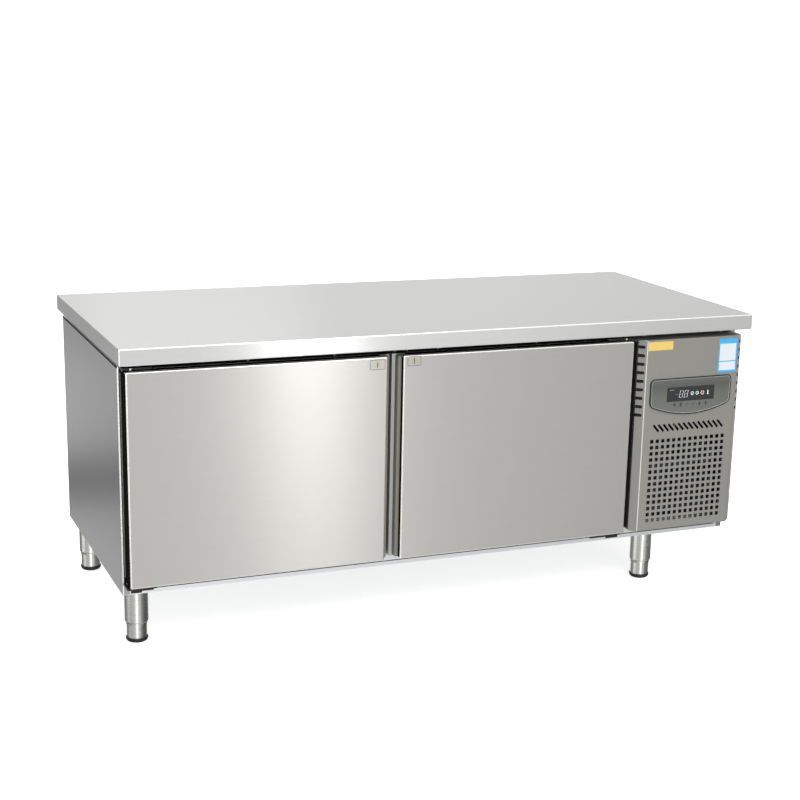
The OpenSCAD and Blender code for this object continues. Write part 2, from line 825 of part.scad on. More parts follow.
// The motor on a strap whose two posts stand on the shroud
module condenser_motor() color("black") difference() {
    strap_y = motor_front + motor_d;
    post_x = fan_r + fan_play + strap_past;
    strap_x = post_x + 1.5*post_r;
    union() {
        rod_y(bay_mid, fan_z, motor_r, motor_front, strap_y);
        block([bay_mid - strap_x, bay_mid + strap_x], [strap_y, strap_y + strap_t],
              [fan_z - strap_h/2, fan_z + strap_h/2]);
        for (side = [-1, 1])
            rod_y(bay_mid + side*post_x, fan_z, post_r, shroud_b, strap_y + strap_t/2);
    }
    rod_y(bay_mid, fan_z, shaft_r + pin_play, motor_front - 1, motor_front + fan_shaft_bore);
}

module condenser_fan() color("slategray")
    fan_rotor(bay_mid, rotor_front, fan_z, fan_r, rotor_d, hub_r, fan_shaft);

// Suction line, discharge line, and the liquid line with its filter drier
module refrigerant_lines() color("peru") {
    top_z = comp_z0 + comp_h;
    run_z = cond_z1 + line_rise;
    suction_z = run_z + line_rise/2;
    liquid_z = run_z - line_rise/3;
    liquid_y = line_wall_y - line_rise/2;
    suction_x = bay_mid - line_x;
    discharge_x = bay_mid + line_x;
    pipe([[suction_x, comp_y, top_z], [suction_x, comp_y, suction_z],
          [suction_x, line_wall_y, suction_z], [bay_l, line_wall_y, suction_z]], pipe_r);
    pipe([[discharge_x, comp_y, top_z], [discharge_x, comp_y, run_z],
          [discharge_x, line_front_y, run_z], [discharge_x, line_front_y, cond_z1]], pipe_r);
    pipe([[liquid_x, line_front_y, cond_z1], [liquid_x, line_front_y, liquid_z],
          [liquid_x, liquid_y, liquid_z], [bay_l, liquid_y, liquid_z]], pipe_r);
    rod_y(liquid_x, liquid_z, drier_r, comp_y - drier_len, comp_y);
}

// The slotted sheet that closes the machine bay at the back
module rear_grille() color("silver") {
    x = [bay_l, cab_r - small_fold_w];
    slot = [96, 6];
    slot_mid = 62;
    rows = 14;
    pitch = 22;
    first_z = cab_z0 + 190;
    upright_plate(cab_b - sheet, sheet) difference() {
        rect(x, [cab_z0, cab_z1]);
        for (side = [-1, 1], i = [0:rows - 1])
            translate([mid(x) + side*slot_mid - slot[0]/2, first_z + i*pitch]) square(slot);
        translate([gland_x, gland_z]) circle(r = gland_r + gland_wall);
    }
}

// A screwed gland in the rear grille
module cable_gland() color("black") {
    y1 = cab_b + gland_out;
    difference() {
        union() {
            rod_y(gland_x, gland_z, gland_r + gland_wall - 0.1, y1 - gland_len, y1);
            rod_y(gland_x, gland_z, gland_r + gland_wall + gland_flange, cab_b, cab_b + gland_nut);
            rod_y(gland_x, gland_z, gland_r + gland_wall + gland_flange,
                  cab_b - sheet - gland_nut, cab_b - sheet);
        }
        rod_y(gland_x, gland_z, gland_r, y1 - gland_len - 1, y1 + 1);
    }
}

// Machine cover

function cover_outline(g) = [
    [bay_l + g, cab_f + (g > 0 ? 1 : 0)],
    [bay_l + g, face_y + bevel_d + 0.4*g],
    [bay_l + bevel_w + 0.2*g, face_y + g],
    [cab_r - bevel_w - 0.2*g, face_y + g],
    [cab_r - g, face_y + bevel_d + 0.4*g],
    [cab_r - g, cab_f + (g > 0 ? 1 : 0)]];

module machine_cover() color("darkgray") difference() {
    first_hole = -(grille_n - 1)/2;
    translate([0, 0, door_z0]) linear_extrude(door_z1 - door_z0) polygon(cover_outline(0));
    translate([0, 0, door_z0 + sheet]) linear_extrude(door_z1 - door_z0 - 2*sheet)
        polygon(cover_outline(sheet));
    for (i = [0:grille_n - 1], j = [0:grille_n - 1])
        translate([cover_mid + (first_hole + i)*hole_pitch - hole_w/2, face_y - 1,
                   grille_top - j*hole_pitch - hole_w/2])
            cube([hole_w, sheet + 2, hole_w]);
    for (i = [0:grille_n - 1])
        translate([cover_mid + (first_hole + i)*slant_pitch, face_y, slant_z])
            rotate([0, -slant_tilt, 0]) translate([-slant_w/2, -1, -slant_len/2])
                cube([slant_w, sheet + 2, slant_len]);
    for (i = [0:side_slots - 1]) {
        z = side_slot_top - i*side_slot_pitch;
        slot_z = [z - side_slot_h/2, z + side_slot_h/2];
        slot_y = [face_y - 1, face_y + side_slot_back];
        block([bay_l - 1, bay_l + side_slot_reach], slot_y, slot_z);
        block([cab_r - side_slot_reach, cab_r + 1], slot_y, slot_z);
    }
    block(grow([cover_mid, cover_mid], housing_w/2 - housing_wall), [face_y - 1, face_y + sheet + 1],
          grow([housing_z, housing_z], housing_h/2 - 6));
}

// Control panel

// The panel's outline, drawn in by g: a flat top, upright sides and a bowed lower edge
module panel_outline(g) {
    half = panel_w/2 - g;
    top = panel_top - g;
    low = panel_top - panel_side_h + g;
    bow_r = (panel_bow*panel_bow + panel_w*panel_w/4)/(2*panel_bow);
    corner = panel_corner - g/2;
    intersection() {
        translate([cover_mid, 0]) union() {
            rect([-half + corner, half - corner], [low - panel_bow, top]);
            rect([-half, half], [low - panel_bow, top - corner]);
            for (side = [-1, 1])
                translate([side*(half - corner), top - corner]) circle(r = corner);
        }
        translate([cover_mid, panel_top - panel_side_h - panel_bow + bow_r])
            circle(r = bow_r - g, $fn = 180);
    }
}

module panel_bezel() color("black")
    upright_plate(face_y - bezel_t, bezel_t) difference() {
        panel_outline(0);
        panel_outline(bezel_w);
    }

function key_x(i) = cover_mid + (i - (len(key_names) - 1)/2)*key_pitch;

// The window's own outline, grown by g
module window_outline(g)
    rect(grow([cover_mid, cover_mid], window_w/2 + g), grow([window_z, window_z], window_h/2 + g));

module key_outline(i, g)
    rect(grow([key_x(i), key_x(i)], key_w/2 + g), grow([keys_z, keys_z], key_h/2 + g));

module panel_overlay() color("gray")
    upright_plate(face_y - overlay_t, overlay_t) difference() {
        panel_outline(bezel_w + 0.1);
        window_outline(0.2);
        for (i = [0:len(key_names) - 1]) key_outline(i, key_gap);
    }

module display_window() color("black")
    upright_plate(face_y - overlay_t + 0.3, board_y - face_y + overlay_t - 0.3)
        window_outline(0);

// A plastic box behind the cover, with the switch board as its front
module controller_housing() color("dimgray") difference() {
    x = grow([cover_mid, cover_mid], housing_w/2);
    z = grow([housing_z, housing_z], housing_h/2);
    block(x, [face_y + sheet, face_y + sheet + housing_d], z);
    block(grow(x, -housing_wall - 1), [face_y, board_y], grow(z, -8));
    block(grow(x, -housing_wall), [board_y + housing_wall, face_y + sheet + housing_d + 1],
          grow(z, -housing_wall));
}

module key(i) color("dimgray")
    upright_plate(key_front, key_back - key_front) key_outline(i, 0);

// Hinges

// A plate over the door's corner with a flange on the front frame; its pin is at x = 0, z = 0
module hinge_bracket() difference() {
    union() {
        block([bracket_edge, bracket_edge + bracket_w], [axis_y - bracket_nose, cab_f],
              [0, bracket_t]);
        block([flange_edge, gasket_edge - flange_gap], [cab_f - flange_t, cab_f],
              [bracket_t - flange_h, 1]);
    }
    translate([0, axis_y, -1]) cylinder(r = pin_r + 0.02, h = bracket_t + 2);
}

// Puts a bracket or pin at each corner: above a door, or upside down below it
module at_hinges() {
    for (door = [0, 1], upper = [0, 1])
        translate([door == 0 ? axis_left_x : axis_right_x, 0,
                   upper == 1 ? door_z1 + bracket_gap : door_z0 - bracket_gap])
            mirror([door, 0, 0]) mirror([0, 0, 1 - upper]) children();
}

module hinge_brackets() color("black") at_hinges() hinge_bracket();

module hinge_pins() color("silver") at_hinges()
    translate([0, axis_y, -bracket_gap - pin_depth])
        cylinder(r = pin_r, h = pin_depth + bracket_gap + bracket_t);

// Legs

module leg_plates() color("silver")
    for (p = legs) translate([p[0], p[1], plate_z]) union() {
        translate([-plate_w/2, -plate_w/2, 0]) cube([plate_w, plate_w, plate_t]);
        translate([0, 0, -spigot_h]) difference() {
            cylinder(r = sleeve_r - sleeve_wall - 0.1, h = spigot_h + 1);
            translate([0, 0, -1]) cylinder(r = foot_r - foot_wall, h = spigot_h + 1);
        }
    }

module leg_sleeves() color("lightgray")
    for (p = legs) translate([p[0], p[1], sleeve_z]) rotate_extrude() polygon([
        [foot_r + foot_play, 0],
        [foot_r + foot_play + collar_wall, 0],
        [foot_r + foot_play + collar_wall, collar_h],
        [sleeve_r, collar_h + shoulder_h],
        [sleeve_r, plate_z - sleeve_z],
        [sleeve_r - sleeve_wall, plate_z - sleeve_z],
        [sleeve_r - sleeve_wall, collar_h + shoulder_h],
        [foot_r + foot_play, collar_h],
    ]);

module foot_tube(p) color("lightgray")
    translate([p[0], p[1], pad_h]) difference() {
        cylinder(r = foot_r, h = sleeve_z - pad_h + foot_inside);
        translate([0, 0, -1]) cylinder(r = foot_r - foot_wall, h = sleeve_z + foot_inside);
    }

module foot_pad(p) color("black")
    translate([p[0], p[1], 0]) rotate_extrude() polygon([
        [0, 0],
        [pad_foot_r, 0],
        [(pad_foot_r + 2*pad_r)/3, pad_round/3],
        [pad_r, pad_round],
        [pad_r, pad_h],
        [foot_r - foot_wall - 0.1, pad_h],
        [foot_r - foot_wall - 0.1, pad_h + pad_plug],
        [0, pad_h + pad_plug],
    ]);

// Doors
// A door is drawn in its own plan: u from its hinge edge to its pull edge, v back from its face

module at_left_door() translate([door_left_x[0], face_y, 0]) children();
module at_right_door() translate([door_right_x[1], face_y, 0]) mirror([1, 0, 0]) children();

left_w = door_left_x[1] - door_left_x[0];
right_w = door_right_x[1] - door_right_x[0];
function face_w(w) = w - grip_w;
function groove_u(w) = face_w(w) - grip_undercut;

// The pressed panel inside the gasket, [from, to] along u
left_plug = grow([open_left[0] - door_left_x[0], open_left[1] - door_left_x[0]], -plug_gap);
right_plug = grow([door_right_x[1] - open_right[1], door_right_x[1] - open_right[0]], -plug_gap);
plug_z = grow([open_z0, open_z1], -plug_gap);

// A tray of brushed steel with its open side to the back
module door_skin(w) color("gainsboro") difference() {
    block([0, face_w(w)], [0, skin_return], [door_z0, door_z1]);
    block([door_sheet, face_w(w) - door_sheet], [door_sheet, skin_return + 1],
          [door_z0 + door_sheet, door_z1 - door_sheet]);
}

// The black profile round the edge, with a lip behind the skin and bores for the pins
module door_rim(w) color("black") difference() {
    ring_u = [rim_step, groove_u(w)];
    ring_z = grow([door_z0, door_z1], -rim_step);
    hole_u = grow(ring_u, -rim_w);
    hole_z = grow(ring_z, -rim_cap);
    union() {
        block(ring_u, [skin_return, pan_front], ring_z);
        block([door_sheet, face_w(w) - door_sheet], [skin_return - rim_lip, skin_return],
              grow([door_z0, door_z1], -door_sheet));
    }
    block(hole_u, [0, door_t], hole_z);
    translate([pin_in, pin_back, door_z0 - 1])
        cylinder(r = pin_r + pin_play, h = door_z1 - door_z0 + 2);
}

// Plan of the inner pan, drawn in by g, with the sloping grip strip at the pull edge
function pan_outline(w, g) = [
    [g, pan_front - (g > 0 ? 1 : 0)],
    [g, door_t - g],
    [w - g, door_t - g],
    [w - g, groove_back + grip_slope + g],
    [groove_u(w) + g, groove_back + g],
    [groove_u(w) + g, pan_front - (g > 0 ? 1 : 0)]];

module door_pan(w, plug_u) color("lightgray") difference() {
    union() {
        translate([0, 0, door_z0]) linear_extrude(door_z1 - door_z0) polygon(pan_outline(w, 0));
        block(plug_u, [door_t - door_sheet, door_t + plug_rise], plug_z);
    }
    translate([0, 0, door_z0 + door_sheet]) linear_extrude(door_z1 - door_z0 - 2*door_sheet)
        polygon(pan_outline(w, door_sheet));
    block(grow(plug_u, -door_sheet), [pan_front, door_t + plug_rise - door_sheet],
          grow(plug_z, -door_sheet));
}

// Foam that fills what the skin, the rim and the pan leave
module door_foam(w, plug_u) color("khaki") union() {
    inner_z = grow([door_z0, door_z1], -door_sheet);
    ring_z = grow([door_z0, door_z1], -rim_step - rim_cap);
    block([door_sheet, face_w(w) - door_sheet], [door_sheet, skin_return - rim_lip], inner_z);
    block([rim_step + rim_w, groove_u(w) - rim_w], [skin_return - rim_lip, pan_front], ring_z);
    difference() {
        translate([0, 0, inner_z[0]]) linear_extrude(inner_z[1] - inner_z[0])
            polygon(pan_outline(w, door_sheet));
        block([0, groove_u(w)], [0, pan_front], [0, top_h]);
    }
    block(grow(plug_u, -door_sheet), [door_t - door_sheet - 1, door_t + plug_rise - door_sheet],
          grow(plug_z, -door_sheet));
}

// The gasket round an opening, from the door's pan to just before the front frame
module door_gasket(o) color("dimgray") difference() {
    inner_x = grow(o, gasket_clear);
    inner_z = grow([open_z0, open_z1], gasket_clear);
    y = [face_y + door_t, cab_f - gasket_gap];
    block(grow(inner_x, gasket_w), y, grow(inner_z, gasket_w));
    block(inner_x, grow(y, 1), inner_z);
}

worktop_skin();
worktop_core();
side_panel_left();
side_panel_right();
back_panel();
bottom_panel();
front_frame();
cabinet_insulation();
inner_liners();
breaker_frames();
wire_shelves();
shelf_supports();
evaporator_coils();
duct_covers();
evaporator_motors();
color("gray") evaporator_fan(open_left);  // evaporator_fan_left
color("gray") evaporator_fan(open_right);  // evaporator_fan_right
machine_base();
compressor();
compressor_fittings();
condenser_coil();
fan_shroud();
condenser_motor();
condenser_fan();
refrigerant_lines();
rear_grille();
cable_gland();
machine_cover();
panel_bezel();
panel_overlay();
display_window();
controller_housing();
key(0);  // key_power
key(1);  // key_set
key(2);  // key_up
key(3);  // key_down
key(4);  // key_light
key(5);  // key_defrost
hinge_brackets();
hinge_pins();
leg_plates();
leg_sleeves();
foot_tube(legs[0]);  // foot_tube_front_left
foot_tube(legs[1]);  // foot_tube_front_right
foot_tube(legs[2]);  // foot_tube_back_left
foot_tube(legs[3]);  // foot_tube_back_right
foot_pad(legs[0]);  // foot_pad_front_left
foot_pad(legs[1]);  // foot_pad_front_right
foot_pad(legs[2]);  // foot_pad_back_left
foot_pad(legs[3]);  // foot_pad_back_right
at_left_door() door_skin(left_w);  // door_left_skin
at_left_door() door_rim(left_w);  // door_left_rim
at_left_door() door_foam(left_w, left_plug);  // door_left_foam
at_left_door() door_pan(left_w, left_plug);  // door_left_pan
door_gasket(open_left);  // door_left_gasket
at_right_door() door_skin(right_w);  // door_right_skin
at_right_door() door_rim(right_w);  // door_right_rim
at_right_door() door_foam(right_w, right_plug);  // door_right_foam
at_right_door() door_pan(right_w, right_plug);  // door_right_pan
door_gasket(open_right);  // door_right_gasket
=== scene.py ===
"""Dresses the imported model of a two-door under counter fridge and lights it in a plain studio."""

import math

import bmesh
import bpy
from mathutils import Matrix, Vector


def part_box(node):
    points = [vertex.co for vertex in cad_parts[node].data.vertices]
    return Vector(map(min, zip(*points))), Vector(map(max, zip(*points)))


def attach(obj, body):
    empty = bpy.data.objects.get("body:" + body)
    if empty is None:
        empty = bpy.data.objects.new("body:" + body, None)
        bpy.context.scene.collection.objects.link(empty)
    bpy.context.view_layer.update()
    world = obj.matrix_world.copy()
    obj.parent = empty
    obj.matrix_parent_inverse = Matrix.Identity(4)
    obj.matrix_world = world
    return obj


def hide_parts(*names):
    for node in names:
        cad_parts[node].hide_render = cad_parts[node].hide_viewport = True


bl_info = {
    "name": "Under Counter Fridge Dressing",
    "version": (1, 0, 0),
    "blender": (4, 5, 0),
    "location": "View3D > Sidebar > Fridge",
    "description": "Models and finishes the pieces of a two-door under counter fridge",
    "category": "Object",
}

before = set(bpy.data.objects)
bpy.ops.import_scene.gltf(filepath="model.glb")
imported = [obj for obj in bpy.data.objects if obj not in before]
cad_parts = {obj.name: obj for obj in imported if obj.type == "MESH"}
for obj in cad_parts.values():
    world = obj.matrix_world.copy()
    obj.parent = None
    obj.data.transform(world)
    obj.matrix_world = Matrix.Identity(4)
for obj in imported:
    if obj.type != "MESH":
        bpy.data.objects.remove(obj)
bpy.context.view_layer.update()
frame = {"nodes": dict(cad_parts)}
NODES = frame["nodes"]
MM = 0.001
SIDES = ("left", "right")
CORNERS = ("front_left", "front_right", "back_left", "back_right")
KEYS = ("power", "set", "up", "down", "light", "defrost")
FACE_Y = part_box("door_left_skin")[0].y
FRAME_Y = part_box("front_frame")[0].y
OVERLAY_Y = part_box("panel_overlay")[0].y
KEY_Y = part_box("key_power")[0].y
GRAIN = "grain"
BACK, DOWN, RIGHT = (0, 1, 0), (0, 0, -1), (1, 0, 0)
PLY = 0.06 * MM  # half the thickness of a printed mark
NEAR = 0.1 * MM  # closer than this, two places are the same


# Sizes and colours that a user would change


def length(name, description, default):
    """A length, whose default is given in mm."""
    return bpy.props.FloatProperty(
        name=name, description=description, default=default * MM, min=0.0, unit="LENGTH",
        precision=5,
    )


def colour(name, description, default):
    return bpy.props.StringProperty(name=name, description=description, default=default)


def amount(name, description, default):
    return bpy.props.FloatProperty(name=name, description=description, default=default)


class FridgeSizes(bpy.types.PropertyGroup):
    top_radius: length("Worktop fold", "Radius of the worktop's folded edges", 3.4)
    top_lip: length("Worktop lip", "Width of the lip under the worktop's edge", 18)
    top_sheet: length("Worktop sheet", "Thickness of the worktop steel", 1.2)
    sheet: length("Panel sheet", "Thickness of doors, panels and cover", 1)
    fold_radius: length("Fold radius", "Outer radius of the folds in thin sheet", 3.4)
    side_radius: length("Side fold radius", "Radius of the side panels' front edges", 3.3)
    front_fold: length("Front fold", "Width of the side panels' front folds", 18)
    side_fold: length("Other folds", "Width of the side panels' other folds", 12)
    cover_width: length("Cover width", "Width of the machine cover across its bevels", 338)
    bevel_width: length("Cover bevel", "Width of the machine cover's bevels", 21)
    bevel_depth: length("Cover bevel depth", "Depth of the machine cover's bevels", 18)
    cover_corner: length("Cover corner", "Radius of the machine cover's outer corners", 7)
    hole: length("Grille hole", "Size of a square hole in the grille", 10.6)
    hole_pitch: length("Grille pitch", "Distance between two holes", 17.9)
    sleeve_radius: length("Leg sleeve", "Radius of a leg's sleeve", 30.6)
    foot_radius: length("Foot tube", "Radius of an adjustable foot", 26.2)
    pad_radius: length("Foot pad", "Radius of a foot's pad", 29)
    digit_height: length("Digit height", "Height of the display's digits", 19)


class FridgeColours(bpy.types.PropertyGroup):
    worktop: colour("Worktop", "Brushed steel of the worktop", "#EFEFEE")
    door: colour("Doors", "Brushed steel of the doors", "#CDCCC8")
    side: colour("Side panels", "Brushed steel of the side panels", "#B4B5B4")
    frame: colour("Frame", "Brushed steel of the front frame", "#F0F3F5")
    cover: colour("Machine cover", "Brushed steel of the machine cover", "#BAB9B3")
    leg: colour("Legs", "Polished steel of the legs", "#D8D9D5")
    face_plate: colour("Face plate", "Film on the control panel", "#93968F")
    label_blue: colour("Label border", "Printed border of the paper label", "#1590C4")
    label_yellow: colour("Sticker", "Plain sticker on the cover", "#BFA24F")
    floor: colour("Floor", "Studio floor", "#F4F4F3")


class FridgeLight(bpy.types.PropertyGroup):
    sun: amount("Key light", "Strength of the soft key light", 1.0)
    strip: amount("Strip light", "Power of the tall strip light", 21.6)
    top: amount("Top light", "Power of the light over the worktop", 3.6)
    sky: amount("Room", "Strength of the light from the room", 0.74)


def sizes():
    return bpy.context.scene.fridge_sizes


def colours():
    return bpy.context.scene.fridge_colours


# Modelling


def clear_selection():
    """Leaves edit mode with nothing selected."""
    if bpy.context.object and bpy.context.object.mode != "OBJECT":
        bpy.ops.object.mode_set(mode="OBJECT")
    bpy.ops.object.select_all(action="DESELECT")


def activate(piece):
    clear_selection()
    piece.select_set(True)
    bpy.context.view_layer.objects.active = piece


def name_new(name):
    piece = bpy.context.object
    piece.name = piece.data.name = name
    bpy.ops.object.transform_apply(location=True, rotation=True, scale=True)
    return piece


def start_box(name, low, high):
    """A cube drawn to two corners."""
    clear_selection()
    low, high = Vector(low), Vector(high)
    bpy.ops.mesh.primitive_cube_add(size=1, location=(low + high) / 2)
    bpy.context.object.scale = high - low
    return name_new(name)


def start_plate(name, x, z, y, depth, gap=0.05):
    """A thin box on an upright face at y. Its (low, high) x and z, its depth and its gap from
    the face are in mm."""
    return start_box(
        name, (x[0] * MM, y - depth * MM, z[0] * MM), (x[1] * MM, y - gap * MM, z[1] * MM)
    )


def start_disc(name, x, y, z, radius, depth, sides=20):
    """A cylinder that faces the front."""
    clear_selection()
    bpy.ops.mesh.primitive_cylinder_add(
        vertices=sides, radius=radius, depth=depth, location=(x, y, z),
        rotation=(math.pi / 2, 0, 0),
    )
    return name_new(name)


def pick(piece, kind, test):
    """Selects the vertices, edges or faces of a piece that pass a test, in edit mode."""
    if piece.mode != "EDIT":
        activate(piece)
        bpy.ops.object.mode_set(mode="EDIT")
    bpy.ops.mesh.select_mode(type=kind)
    bpy.ops.mesh.select_all(action="DESELECT")
    shape = bmesh.from_edit_mesh(piece.data)
    parts = {"VERT": shape.verts, "EDGE": shape.edges, "FACE": shape.faces}[kind]
    for part in parts:
        if test(part):
            part.select_set(True)
    shape.select_flush_mode()
    bmesh.update_edit_mesh(piece.data)


def facing(direction):
    """A test for faces whose normal points one way."""
    direction = Vector(direction)
    return lambda face: face.normal.dot(direction) > 0.9


def sharp(edge):
    return len(edge.link_faces) == 2 and edge.calc_face_angle(0) > 0.35


def everything(_):
    return True


def centre_of(edge):
    return (edge.verts[0].co + edge.verts[1].co) / 2


def span(edge):
    """How far an edge runs along each axis."""
    return Vector([abs(part) for part in edge.verts[0].co - edge.verts[1].co])


def round_edges(piece, radius, segments, test=sharp):
    pick(piece, "EDGE", test)
    bpy.ops.mesh.bevel(offset=radius, segments=segments, affect="EDGES")


def slice_at(piece, places):
    """Cuts new edges across a piece, at each x."""
    for x in places:
        pick(piece, "FACE", everything)
        bpy.ops.mesh.bisect(plane_co=(x, 0, 0), plane_no=RIGHT)


def open_side(piece, direction):
    """Takes the faces on one side off."""
    pick(piece, "FACE", facing(direction))
    bpy.ops.mesh.delete(type="ONLY_FACE")


def apply_modifier(piece, kind, **settings):
    """Adds a modifier and applies it."""
    activate(piece)
    modifier = piece.modifiers.new(kind.title(), kind)
    for key, value in settings.items():
        setattr(modifier, key, value)
    bpy.ops.object.modifier_apply(modifier=modifier.name)


def thicken(piece, thickness):
    apply_modifier(piece, "SOLIDIFY", thickness=thickness, offset=-1)


def soften(piece, width, segments=2):
    """Rounds every corner of more than 40 degrees."""
    apply_modifier(
        piece, "BEVEL", width=width, segments=segments, limit_method="ANGLE",
        angle_limit=math.radians(40), use_clamp_overlap=True,
    )


def repeat(piece, count, offset):
    apply_modifier(
        piece, "ARRAY", count=count, use_relative_offset=False, use_constant_offset=True,
        constant_offset_displace=offset,
    )


def cut(piece, cutter):
    apply_modifier(piece, "BOOLEAN", operation="DIFFERENCE", solver="EXACT", object=cutter)
    bpy.data.objects.remove(cutter)


def join(name, pieces):
    clear_selection()
    for piece in pieces:
        piece.select_set(True)
    bpy.context.view_layer.objects.active = pieces[0]
    bpy.ops.object.join()
    pieces[0].name = pieces[0].data.name = name
    return pieces[0]


def mirrored(piece, name, x):
    """A copy with its own mesh, mirrored in the upright plane at x."""
    twin = bpy.data.objects.new(name, piece.data.copy())
    bpy.context.collection.objects.link(twin)
    twin.data.transform(Matrix.Translation((2 * x, 0, 0)) @ Matrix.Scale(-1, 4, RIGHT))
    twin.data.flip_normals()
    return twin


def merged_node(node, name):
    """A copy of a frame node, merged, with its flat faces whole."""
    piece = bpy.data.objects.new(name, NODES[node].data.copy())
    bpy.context.collection.objects.link(piece)
    pick(piece, "VERT", everything)
    bpy.ops.mesh.remove_doubles(threshold=0.01 * MM)
    bpy.ops.mesh.dissolve_limited(angle_limit=math.radians(1))
    return piece


def softened_node(node, name, width, segments=2):
    """A merged copy of a frame node with its edges rounded."""
    piece = merged_node(node, name)
    soften(piece, width, segments)
    return piece


def hollow_out(piece, width, **settings):
    """Turns a slab that faces the front into a ring."""
    pick(piece, "FACE", lambda f: abs(f.normal.y) > 0.9)
    bpy.ops.mesh.inset(thickness=width, **settings)
    bpy.ops.mesh.bridge_edge_loops()
    clear_selection()
    return piece


def sign(name, origin, y, bars, rings=()):
    """Flat bars (x0, z0, x1, z1, width) and rings (x, radius, width) on an upright face at y,
    joined. They are in mm, from an (x, z) origin in metres."""
    left, level = origin
    made = []
    for index, (x0, z0, x1, z1, width) in enumerate(bars):
        start = Vector((left + x0 * MM, y, level + z0 * MM))
        half, way = width / 2 * MM, Vector((x1 - x0, 0, z1 - z0)) * MM
        piece = start_box(f"bar_{index}", (-half, -PLY, -half), (half, PLY, way.length + half))
        turn = way.to_track_quat("Z", "Y").to_matrix().to_4x4()
        piece.data.transform(Matrix.Translation(start) @ turn)
        made.append(piece)
    for index, (x, radius, width) in enumerate(rings):
        disc = start_disc(f"ring_{index}", left + x * MM, y, level, radius * MM, 2 * PLY)
        made.append(hollow_out(disc, width * MM, use_individual=True))
    return join(name, made)


def tag(name, x, z, thickness, radius):
    """A thin plate with round corners on the doors' face; all in mm."""
    piece = start_plate(name, x, z, FACE_Y, thickness, 0.02)
    round_edges(piece, radius * MM, 5, lambda e: span(e).y > thickness * MM / 2)
    return piece


def screw_row(name, across, y, z, radius):
    """Domed heads with a recess, in a row that faces the front; x, z and radius are in mm."""
    z, radius = z * MM, radius * MM
    heads = []
    for x in across:
        head = start_disc(f"head_{x}", x * MM, y - 0.3 * radius, z, radius, 0.6 * radius)
        round_edges(
            head, 0.28 * radius, 3, lambda e: sharp(e) and centre_of(e).y < y - 0.5 * radius
        )
        pick(head, "FACE", lambda f: f.normal.y < -0.9 and len(f.verts) > 8)
        bpy.ops.mesh.inset(thickness=0.3 * radius)
        bpy.ops.mesh.extrude_region_move(TRANSFORM_OT_translate={"value": (0, 0.2 * radius, 0)})
        heads.append(head)
    place(join(name, heads), "cabinet", bright_steel())


def stations(height, radius, *steps):
    """Stations for drawn_up: (up, out) steps in mm from one height and radius."""
    return [(height + up * MM, radius + out * MM) for up, out in steps]


def drawn_up(name, centre, path, closed=True):
    """A ring drawn up through (height, radius) stations; a closed one ends where it began."""
    clear_selection()
    x, y = centre
    height, radius = path[0]
    bpy.ops.mesh.primitive_circle_add(vertices=48, radius=radius, location=(x, y, height))
    piece = name_new(name)
    pick(piece, "EDGE", everything)
    for next_height, next_radius in path[1:]:
        bpy.ops.mesh.extrude_region_move(
            TRANSFORM_OT_translate={"value": (0, 0, next_height - height)}
        )
        ratio = next_radius / radius
        bpy.ops.transform.resize(value=(ratio, ratio, 1), center_override=(x, y, next_height))
        height, radius = next_height, next_radius
    pick(piece, "VERT", everything)
    bpy.ops.mesh.remove_doubles(threshold=0.005 * MM)
    if not closed:
        bpy.ops.mesh.fill_holes(sides=0)
    bpy.ops.mesh.normals_make_consistent(inside=False)
    return piece


def lay_grain(piece, along):
    """A UV map whose U runs along the brushing on each face, in metres."""
    along = Vector(along).normalized()
    layer = piece.data.uv_layers.new(name=GRAIN)
    for face in piece.data.polygons:
        u = along - face.normal * along.dot(face.normal)
        if u.length < 0.2:
            other = Vector((0, 0, 1)) if abs(face.normal.z) < 0.9 else Vector((0, 1, 0))
            u = other - face.normal * other.dot(face.normal)
        u.normalize()
        v = face.normal.cross(u)
        for loop in face.loop_indices:
            spot = piece.data.vertices[piece.data.loops[loop].vertex_index].co
            layer.data[loop].uv = (spot.dot(u), spot.dot(v))


def place(piece, body, finish, stands_for=(), grain=None, folds=None):
    """Gives a finished piece its material and its body, and hides the nodes that it stands for.
    Folds can have a finish of their own."""
    activate(piece)
    piece.data.materials.clear()
    piece.data.materials.append(finish)
    if folds:
        piece.data.materials.append(folds)
        for face in piece.data.polygons:
            if max(abs(part) for part in face.normal) < 0.995:
                face.material_index = 1
    bpy.ops.object.shade_smooth_by_angle(angle=math.radians(35))
    apply_modifier(piece, "WEIGHTED_NORMAL", weight=100, keep_sharp=True)
    if grain:
        lay_grain(piece, grain)
    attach(piece, body)
    if stands_for:
        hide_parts(*stands_for)


def dress(finish, *nodes):
    """Gives frame nodes a better material."""
    for node in nodes:
        NODES[node].data.materials.clear()
        NODES[node].data.materials.append(finish)


# Materials


def linear(hex_colour):
    """An sRGB hex colour as linear RGBA."""
    parts = [int(hex_colour[i : i + 2], 16) / 255 for i in (1, 3, 5)]
    return [p / 12.92 if p <= 0.04045 else ((p + 0.055) / 1.055) ** 2.4 for p in parts] + [1.0]


def shades(hex_colour, *stops):
    """Ramp stops of one colour made darker or lighter, from (place, factor) pairs."""
    tone = linear(hex_colour)[:3]
    return [(spot, [min(1.0, part * factor) for part in tone] + [1.0]) for spot, factor in stops]


def add(tree, kind, links=None, values=None, stops=(), **settings):
    """Adds a node with its settings, its sockets' values, its incoming links and, on a ramp, its
    (place, linear colour) stops."""
    node = tree.nodes.new(kind)
    for key, value in settings.items():
        setattr(node, key, value)
    for socket, value in (values or {}).items():
        node.inputs[socket].default_value = value
    for socket, source in (links or {}).items():
        tree.links.new(source, node.inputs[socket])
    if stops:
        elements = node.color_ramp.elements
        for element, (spot, value) in zip(elements, (stops[0], stops[-1])):
            element.position, element.color = spot, value
        for spot, value in stops[1:-1]:
            elements.new(spot).color = value
    return node


